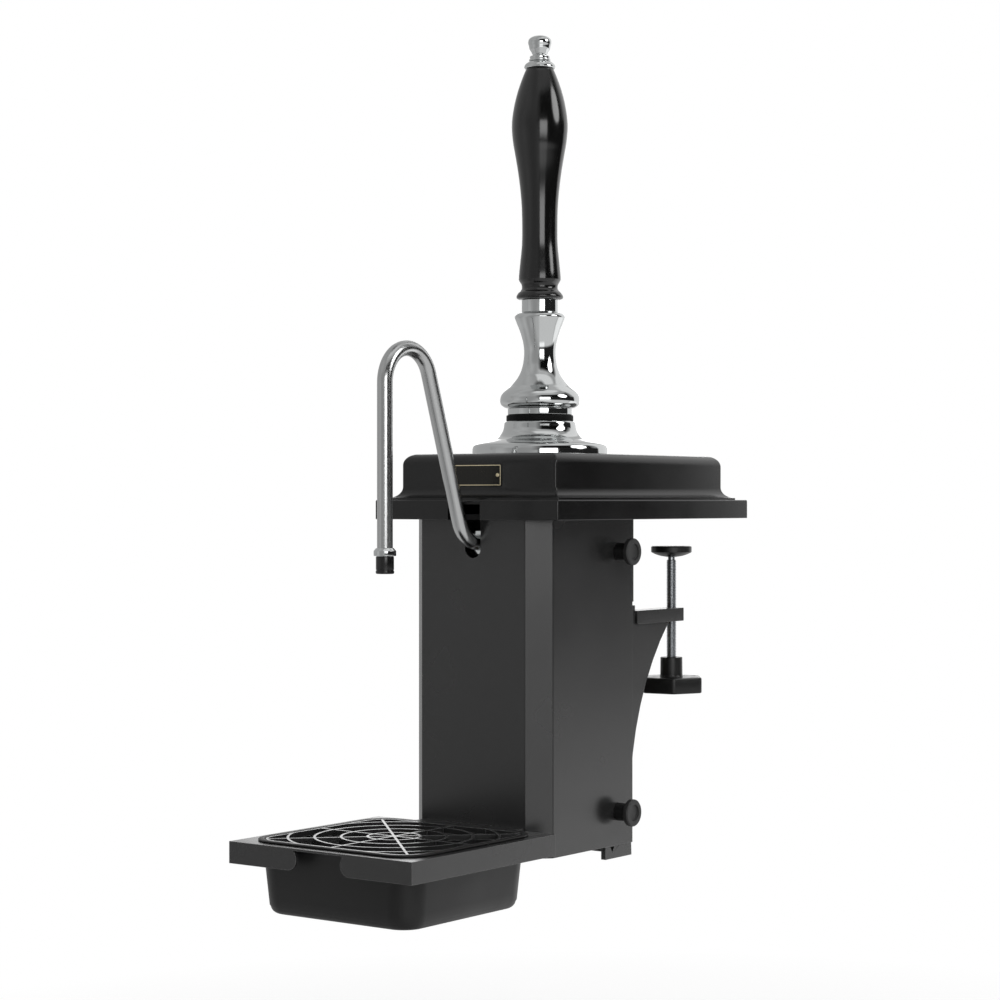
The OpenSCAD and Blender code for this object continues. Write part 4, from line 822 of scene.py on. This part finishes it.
class Handle(bpy.types.Operator):
    """Turns the handle: collar, bell, ferrule, lacquered grip and finial"""

    bl_idname = "beer_engine.handle"
    bl_label = "Handle"

    # Shares of the height and of the radius; a new stretch starts at each sharp line
    BELL = (((0.003, 0.82), (0.011, 0.883), (0.032, 0.956), (0.054, 0.988), (0.086, 1), (0.126, 0.984),
             (0.169, 0.922), (0.21, 0.81), (0.238, 0.727), (0.292, 0.615), (0.346, 0.524), (0.408, 0.461),
             (0.481, 0.417), (0.595, 0.396), (0.703, 0.43), (0.811, 0.508), (0.886, 0.581), (0.93, 0.622)),
            ((0.93, 0.622), (0.95, 0.632), (0.97, 0.612), (0.985, 0.57), (0.997, 0.49)))
    GRIP = (((0.002, 0.75), (0.006, 0.82), (0.015, 0.837), (0.029, 0.778), (0.038, 0.7)),
            ((0.038, 0.7), (0.047, 0.652), (0.056, 0.641), (0.067, 0.66), (0.076, 0.707), (0.087, 0.752)),
            ((0.087, 0.752), (0.091, 0.752), (0.114, 0.741), (0.164, 0.7), (0.24, 0.641), (0.316, 0.633),
             (0.398, 0.648), (0.474, 0.696), (0.553, 0.778), (0.631, 0.885), (0.681, 0.956), (0.739, 1),
             (0.786, 0.985), (0.838, 0.919), (0.891, 0.815), (0.942, 0.678), (0.985, 0.54), (0.999, 0.48)))
    FINIAL = (((0.01, 0.95), (0.03, 0.992), (0.053, 1), (0.09, 0.98), (0.144, 0.907), (0.203, 0.74),
               (0.234, 0.64)),
              ((0.234, 0.67), (0.25, 0.69), (0.275, 0.69), (0.295, 0.65), (0.31, 0.635), (0.36, 0.64),
               (0.38, 0.61)),
              ((0.38, 0.61), (0.406, 0.453), (0.47, 0.507), (0.53, 0.573), (0.594, 0.653), (0.687, 0.7),
               (0.78, 0.747), (0.866, 0.72), (0.925, 0.62), (0.975, 0.42), (0.995, 0.2), (1, 0)))
    # Sizes in millimetres
    ROD_BORE, COLLAR_BORE, RING_EDGE = 5.05, 14.05, 0.6

    def shaped(self, name, node, stretches, material, slot):
        """One turned piece from its stretches, as high and wide as its CAD node."""
        low, high = corners(node)
        centre, radius, tall = (low + high) / 2, (high.x - low.x) / 2, high.z - low.z
        line = [(self.ROD_BORE, low.z)]
        for stretch in stretches:
            line += [(p[1] * radius, low.z + p[0] * tall) for p in smooth_line(stretch)]
        closes_on_axis = stretches[-1][-1][1] == 0
        if not closes_on_axis:
            line += [(self.ROD_BORE, high.z)]
        clad(turned(name, line, (0, centre.y, 0)), material, slot, node)

    def execute(self, context):
        self.shaped("bell_turning", "bell", self.BELL, chrome_plate(), "chrome")
        self.shaped("grip_turning", "grip", self.GRIP, lacquered_grip(), "grip_black")
        self.shaped("finial_turning", "finial", self.FINIAL, chrome_plate(), "chrome")
        plain_ring("collar_ring", "collar", self.COLLAR_BORE, self.RING_EDGE, chrome_plate(), "chrome")
        plain_ring("ferrule_ring", "ferrule", self.ROD_BORE, self.RING_EDGE, chrome_plate(), "chrome")
        dress(["lever_rod", "lever_fork", "fork_pin"], zinc_plate(), 0.3)
        return {"FINISHED"}


class SwanNeck(bpy.types.Operator):
    """Bends the neck's tube and adds its collar, union nut, outlet pipe and sparkler"""

    bl_idname = "beer_engine.swan_neck"
    bl_label = "Swan neck"

    # Sizes in millimetres, lean in degrees; the socket is the tube's radius with its clearance
    TUBE, ARCH, BEND, LEAN, TAIL_Z = 7.0, 32.0, 28.0, 18.7, -21.3
    SOCKET, JET = 7.05, 2.3

    def execute(self, context):
        low, high = corners("swan_neck")
        r, arch_r, bend_r, tail_z = self.TUBE, self.ARCH, self.BEND, self.TAIL_Z
        lean = radians(self.LEAN)
        spout_y = low.y + r
        arch = Vector((0, spout_y + arch_r, high.z - r - arch_r))
        out = Vector((0, cos(lean), sin(lean)))
        leg_top = arch + arch_r * out
        bend_z = tail_z + bend_r
        bend_y = (leg_top.dot(out) + bend_r - bend_z * out.z) / out.y
        bend = Vector((0, bend_y, bend_z))
        leg_end = bend - bend_r * out
        path = [Vector((0, spout_y, low.z + (arch.z - low.z) * k / 12)) for k in range(12)]
        path += [arch + arch_r * Vector((0, cos(a), sin(a))) for a in arc(180, self.LEAN, 40)]
        path += [leg_top.lerp(leg_end, k / 12) for k in range(1, 12)]
        path += [bend + bend_r * Vector((0, cos(a), sin(a))) for a in arc(180 + self.LEAN, 270, 24)]
        path += [Vector((0, bend_y + (high.y - bend_y) * k / 4, tail_z)) for k in range(1, 5)]
        clad(swept("neck_tube", path, r, 64), stainless_tube(), "stainless", "swan_neck")

        socket, jet = self.SOCKET, self.JET
        low, high = corners("spout_collar")
        wide = (high.x - low.x) / 2
        line = fillet([(socket, low.z), (wide - 0.3, low.z), (wide, low.z + 0.4), (wide, high.z - 2.6),
                       (wide - 2.2, high.z), (socket, high.z)], [0, 0.2, 0.2, 0.4, 0.5, 0], 3)
        clad(turned("spout_ring", line + [(socket, low.z)], (0, spout_y, 0), steps=96), chrome_plate(),
             "chrome", "spout_collar")
        low, high = corners("sparkler")
        wide = (high.x - low.x) / 2
        line = fillet([(jet, low.z + 4), (jet, low.z), (wide - 0.7, low.z), (wide, low.z + 0.7),
                       (wide, low.z + 2.6), (wide - 0.45, low.z + 2.9), (wide - 0.45, low.z + 3.5),
                       (wide - 0.15, low.z + 3.8), (wide - 0.15, high.z - 0.6), (wide - 0.6, high.z),
                       (socket, high.z), (socket, high.z - 4.5)],
                      [0, 0.2, 0.3, 0.3, 0.3, 0.1, 0.1, 0.1, 0.3, 0.2, 0.2, 0], 3)
        line += [(6, high.z - 4.5), (6, low.z + 4), (jet, low.z + 4)]
        clad(turned("sparkler_cap", line, (0, spout_y, 0), steps=96), gloss_nylon(), "sparkler_black",
             "sparkler")
        dress(["neck_nut"], chrome_plate(), 0.4)
        dress(["outlet_pipe"], stainless_tube(), 0.2)
        return {"FINISHED"}


class Case(bpy.types.Operator):
    """Folds the front cover and dresses the bracket plates, back plate, cross bar and their screws"""

    bl_idname = "beer_engine.case"
    bl_label = "Case"

    # Sizes in millimetres
    SHEET, BEVEL, INNER_BEND, SLOT_HALF, SLOT_FOOT = 2.0, 18.6, 0.5, 9.25, -35.7

    def execute(self, context):
        low, high = corners("front_cover")
        bend = context.scene.case_settings.bend / MM
        half = (high.x - low.x) / 2

        def outline(inset, r):
            leg = self.BEVEL - inset * (2 - sqrt(2))
            x, y = half - inset, low.y + inset
            return fillet([(-x, high.y), (-x, y + leg), (-x + leg, y), (x - leg, y), (x, y + leg),
                           (x, high.y)], r)

        outer, inner = outline(0, bend), outline(self.SHEET, max(bend - self.SHEET, self.INNER_BEND))
        ring = outer + list(reversed(inner))
        count, total = len(outer), len(ring)
        points = [Vector((p.x, p.y, z)) for z in (low.z, high.z) for p in ring]
        faces = [(k, (k + 1) % total, total + (k + 1) % total, total + k) for k in range(total)]
        for base in (0, total):
            faces += [(base + k, base + k + 1, base + total - 2 - k, base + total - 1 - k)
                      for k in range(count - 1)]
        cover = piece_from("folded_cover", points, faces)
        r = self.SLOT_HALF
        slot = [(r * cos(a), self.SLOT_FOOT + r + r * sin(a)) for a in arc(180, 360, 30)]
        slot += [(r, OVERRUN), (-r, OVERRUN)]
        cut(cover, loft("slot", [[Vector((x, y, z)) for x, z in slot]
                                 for y in (low.y - OVERRUN, low.y + OVERRUN + 1)]))
        soften(cover, 0.3)
        clad(cover, powder_coat(), "case_black", "front_cover")
        dress(["bracket_plate_right", "bracket_plate_left", "back_plate", "cross_bar"], powder_coat(), 0.5)
        dress(["bracket_bolts", "bracket_screws"], zinc_plate(), 0.3)
        return {"FINISHED"}


class CoverKnobs(bpy.types.Operator):
    """Turns the four thumb knobs that hold the front cover"""

    bl_idname = "beer_engine.cover_knobs"
    bl_label = "Cover knobs"

    # Sizes in millimetres
    SCREW, SEAT, STEM, HEAD, DISH, DISH_DEEP = 3, 78.5, 8.5, 5.5, 7.9, 1.6

    def execute(self, context):
        stem, head, dish, deep = self.STEM, self.HEAD, self.DISH, self.DISH_DEEP
        for side, level in (("right", "upper"), ("right", "lower"), ("left", "upper"), ("left", "lower")):
            node = "cover_knob_%s_%s" % (side, level)
            low, high = corners(node)
            sign, tip = (1, high.x) if side == "right" else (-1, -low.x)
            r, y, z = (high.y - low.y) / 2, (low.y + high.y) / 2, (low.z + high.z) / 2
            inner = min(abs(low.x), abs(high.x))
            line = fillet([(0, inner), (self.SCREW, inner), (self.SCREW, self.SEAT), (stem, self.SEAT + 0.3),
                           (stem - 0.3, tip - head - 2), (stem + 1, tip - head - 0.1), (r - 1, tip - head),
                           (r, tip - head + 0.9), (r, tip - 0.9), (r - 0.9, tip), (dish, tip),
                           (dish - 0.4, tip - deep), (0, tip - deep)],
                          [0, 0, 0, 0.3, 2, 1, 1, 0.7, 0.8, 0.8, 0.4, 0.5, 0])
            knob = turned("thumb_" + node, [(p[0], sign * p[1]) for p in line], (0, y, z), "X", steps=72)
            clad(knob, moulded_nylon(), "knob_black", node)
            # The stem under the head takes the darker, smoother nylon: its darker colour is painted shade
            # under the head
            knob.data.materials.append(clamp_nylon())
            for face in knob.data.polygons:
                face.material_index = 1 if abs(face.center.x) < (tip - head - 0.2) * MM else 0
        return {"FINISHED"}


class Clamps(bpy.types.Operator):
    """Makes the clamp pads, the threaded screws and their six-sided knobs, and dresses the arms"""

    bl_idname = "beer_engine.clamps"
    bl_label = "Clamps"

    # Sizes in millimetres; the knob's reach is to the middle of each corner's round
    SCREW, CORE, NECK, SHOULDER_DROP, THREAD_DEEP = 5.0, 4.25, 3.4, 5.3, 0.85
    PAD_RIM_DROP, PAD_CROWN, PAD_SOCKET, PAD_SOCKET_DEEP = 5.9, 5, 3.45, 4
    KNOB_REACH, KNOB_CORNER, KNOB_HIGH = 27.5, 5.0, 15.3
    # Where the thread's root begins as a share of its depth, and how sharp its edges stay, in degrees
    ROOT_SHARE, THREAD_CREASE = 0.6, 28
    # How far each knob was turned when the pump was clamped, in degrees
    KNOB_TURN = {"right": -83, "left": -97}

    def thread(self, name, x, y, low, high, pitch):
        """A real helical thread, one crest each turn, with its roots in the second finish, painted darker as
        shade.
        """
        steps, r, depth = 24, self.SCREW, self.THREAD_DEEP
        # Share of a pitch, and depth below the crest's radius
        shape = [(0.0, -depth), (0.14, -depth), (0.42, -0.05), (0.58, -0.05), (0.86, -depth), (1.0, -depth)]
        rings = []
        for k in range(int((high - low) / pitch) * steps + 1):
            a = 2 * pi * k / steps
            z = low + k / steps * pitch
            rings.append([Vector((x + (r + d) * cos(a), y + (r + d) * sin(a),
                                  min(z + s * pitch, high))) for s, d in shape])
        count = len(shape)
        faces = [(i * count + k, i * count + k + 1, (i + 1) * count + k + 1, (i + 1) * count + k)
                 for i in range(len(rings) - 1) for k in range(count - 1)]
        screw = piece_from(name, [p for ring in rings for p in ring], faces, self.THREAD_CREASE)
        root = (r - depth * self.ROOT_SHARE) * MM
        middle = Vector((x, y, 0)) * MM
        for face in screw.data.polygons:
            off = face.center - middle
            face.material_index = 1 if hypot(off.x, off.y) < root else 0
        return screw

    def pad(self, side):
        """The round pad: flat on top, domed below, with a socket for the screw."""
        low, high = corners("clamp_pad_" + side)
        x, y, r = (low.x + high.x) / 2, (low.y + high.y) / 2, (high.x - low.x) / 2
        rim, steep = high.z - self.PAD_RIM_DROP, radians(50)
        socket, deep = self.PAD_SOCKET, self.PAD_SOCKET_DEEP
        line = [(0, high.z), (r - 1.4, high.z), (r - 0.5, high.z - 0.3), (r, high.z - 1.0), (r, rim + 0.5)]
        line += [(r * sin(a) / sin(steep),
                  rim - self.PAD_CROWN * (cos(a) - cos(steep)) / (1 - cos(steep)))
                 for a in arc(50, 23, 9)]
        line += [(4.4, low.z), (socket, low.z + 0.3), (socket, low.z + deep), (0, low.z + deep)]
        clad(turned("foot_pad_" + side, line, (x, y, 0), steps=96), clamp_nylon(), "knob_black",
             "clamp_pad_" + side)
        return x, y

    def screw(self, side, x, y, pitch):
        """The thread, and the core with the plain end that sits in the pad."""
        node = "clamp_screw_" + side
        low, high = corners(node)
        shoulder, core_r, neck = high.z - self.SHOULDER_DROP, self.CORE, self.NECK
        screw = self.thread("thread_" + side, x, y, low.z, shoulder, pitch)
        clad(screw, rolled_thread(), "zinc_steel", node)
        # The thread's roots take the darker finish: painted shade in the grooves
        screw.data.materials.append(thread_root_shade())
        line = fillet([(0, low.z), (core_r, low.z), (core_r, shoulder), (neck, shoulder), (neck, high.z),
                       (0, high.z)], 0.2)
        clad(turned("screw_core_" + side, line, (x, y, 0), steps=32), rolled_thread(), "zinc_steel",
             body=BODY_OF[node])

    def knob(self, side, x, y):
        """The six-sided hand knob and its hub."""
        node = "clamp_knob_" + side
        low, high = corners(node)
        base, top, reach, corner = low.z, low.z + self.KNOB_HIGH, self.KNOB_REACH, self.KNOB_CORNER
        outline = []
        for k in range(6):
            a = radians(30 + 60 * k + self.KNOB_TURN[side])
            outline += [(reach * cos(a), reach * sin(a), a + b) for b in arc(-30, 30, 8)]

        def ring(inset, z):
            r = corner - inset
            return [Vector((x + cx + r * cos(b), y + cy + r * sin(b), z)) for cx, cy, b in outline]

        rings = [ring(6, base + 0.5), ring(4, base), ring(1.4, base), ring(0.4, base + 0.4),
                 ring(0.1, base + 1.4), ring(0.1, top - 1.6), ring(0.4, top - 0.5), ring(1.2, top),
                 ring(6, top)]
        clad(loft("hand_knob_" + side, rings), clamp_nylon(), "knob_black", node)
        bore = self.SCREW + 0.05
        hub = fillet([(12.4, top - 1), (11.4, top + 0.2), (11, top + 2), (10.8, high.z), (bore, high.z),
                      (bore, high.z - 12)], [0, 0.6, 1.5, 0.8, 0.3, 0])
        clad(turned("knob_hub_" + side, hub, (x, y, 0), steps=72), clamp_nylon(), "knob_black",
             body=BODY_OF[node])

    def execute(self, context):
        pitch = context.scene.case_settings.pitch / MM
        for side in ("right", "left"):
            x, y = self.pad(side)
            self.screw(side, x, y, pitch)
            self.knob(side, x, y)
        dress(["clamp_arm_right", "clamp_arm_left"], powder_coat(), 0.6)
        return {"FINISHED"}


class Tray(bpy.types.Operator):
    """Dresses the tray frame and the grid, and forms the drip tub between them"""

    bl_idname = "beer_engine.tray"
    bl_label = "Drip tray"

    # Sizes in millimetres; the taper is how far a wall leans in over the tub's height
    MOUTH, WALL, TAPER, BOTTOM_EDGE, SMALLEST_CORNER, RIM = 90.0, 2.0, 6.0, 7.5, 3, 1.5
    LEDGE_HALF, LEDGE_IN, LEDGE_OUT, LEDGE_HIGH, LEDGE_GAP = 10, 84, 87.3, 10, 0.3

    def execute(self, context):
        dress(["tray_frame"], powder_coat(), 0.6)
        dress(["tray_screws"], zinc_plate(), 0.3)
        low, high = corners("drip_tub")
        middle, tall = (low + high) / 2, high.z - low.z
        corner = context.scene.tray_settings.tub_corner / MM
        mouth, taper, bottom_r, under_rim = self.MOUTH, self.TAPER, self.BOTTOM_EDGE, high.z - self.RIM

        def ring(half, z, r):
            x, y = middle.x, middle.y
            return round_rectangle((x - half, y - half), (x + half, y + half), r, z, 12)

        def side(inset):
            rings = []
            for k in range(9):
                z = under_rim + (low.z + bottom_r - under_rim) * k / 8
                lean = taper * (high.z - z) / tall
                rings.append(ring(mouth - inset - lean, z, corner - inset - lean / 2))
            floor_half, r = mouth - inset - taper, bottom_r - inset
            for a in arc(0, 90, 8)[1:]:
                back = r - r * cos(a)
                rings.append(ring(floor_half - back, low.z + bottom_r - r * sin(a),
                                  max(corner - inset - taper / 2 - back, self.SMALLEST_CORNER)))
            return rings

        rim, rim_r = (high.x - low.x) / 2, corner + 3
        rings = list(reversed(side(0)))
        rings += [ring(rim - 0.3, under_rim, rim_r), ring(rim, under_rim + 0.3, rim_r),
                  ring(rim, high.z - 0.4, rim_r), ring(rim - 0.4, high.z, rim_r),
                  ring(mouth - 1.4, high.z, corner - 1)]
        rings += side(self.WALL)
        clad(loft("formed_tub", rings, angle=50), tub_plastic(), "tub_black", "drip_tub")
        top = corners("tray_grid")[0].z - self.LEDGE_GAP
        for name, ax, ay in (("right", 1, 0), ("left", -1, 0), ("rear", 0, 1), ("front", 0, -1)):
            wide_x, wide_y = self.LEDGE_HALF * abs(ay), self.LEDGE_HALF * abs(ax)
            a = (middle.x + ax * self.LEDGE_IN - wide_x, middle.y + ay * self.LEDGE_IN - wide_y,
                 top - self.LEDGE_HIGH)
            b = (middle.x + ax * self.LEDGE_OUT + wide_x, middle.y + ay * self.LEDGE_OUT + wide_y, top)
            ledge = block("tub_ledge_" + name, [min(p) for p in zip(a, b)], [max(p) for p in zip(a, b)])
            soften(ledge, 0.6)
            clad(ledge, tub_plastic(), "tub_black", body="tub")
        dress(["tray_grid"], grid_plastic(), 0.45)
        return {"FINISHED"}


class Pump(bpy.types.Operator):
    """Dresses the pump inside the case: caps, cylinder, piston, valves, gland, barb, tie rods and seals"""

    bl_idname = "beer_engine.pump"
    bl_label = "Pump"

    def execute(self, context):
        dress(["top_cap", "bottom_cap", "piston"], acetal(), 0.5)
        dress(["cylinder_tube", "rod_gland", "hose_barb"], machined_brass(), 0.3)
        dress(["tie_rods", "tie_spacers", "valve_cage", "crosshead", "piston_nut"], zinc_plate(), 0.3)
        dress(["piston_rod", "inlet_ball"], stainless_tube(), 0.2)
        dress(["cap_seals", "piston_seals", "piston_valve"], soft_rubber(), 0)
        return {"FINISHED"}


class BeerEnginePanel(bpy.types.Panel):
    bl_idname = "VIEW3D_PT_beer_engine"
    bl_label = "Beer Engine"
    bl_space_type = "VIEW_3D"
    bl_region_type = "UI"
    bl_category = "Beer Engine"

    def draw(self, context):
        for group in SETTINGS:
            box = self.layout.box()
            settings = getattr(context.scene, group)
            for name in settings.__annotations__:
                box.prop(settings, name)
        for step in STEPS:
            self.layout.operator(step.bl_idname)


SETTINGS = {"stage_settings": StageSettings, "handle_settings": HandleSettings, "case_settings": CaseSettings,
            "tray_settings": TraySettings}
STEPS = (Stage, BaseMoulding, NamePlate, DomedFlange, Handle, SwanNeck, Case, CoverKnobs, Clamps, Tray, Pump)


def register():
    for kind in (*SETTINGS.values(), *STEPS, BeerEnginePanel):
        bpy.utils.register_class(kind)
    for name, kind in SETTINGS.items():
        setattr(bpy.types.Scene, name, bpy.props.PointerProperty(type=kind))


def unregister():
    for name in SETTINGS:
        delattr(bpy.types.Scene, name)
    for kind in (BeerEnginePanel, *reversed(STEPS), *SETTINGS.values()):
        bpy.utils.unregister_class(kind)


def main():
    register()
    for step in STEPS:
        group, name = step.bl_idname.split(".")
        getattr(getattr(bpy.ops, group), name)()


if __name__ == "__main__":
    main()
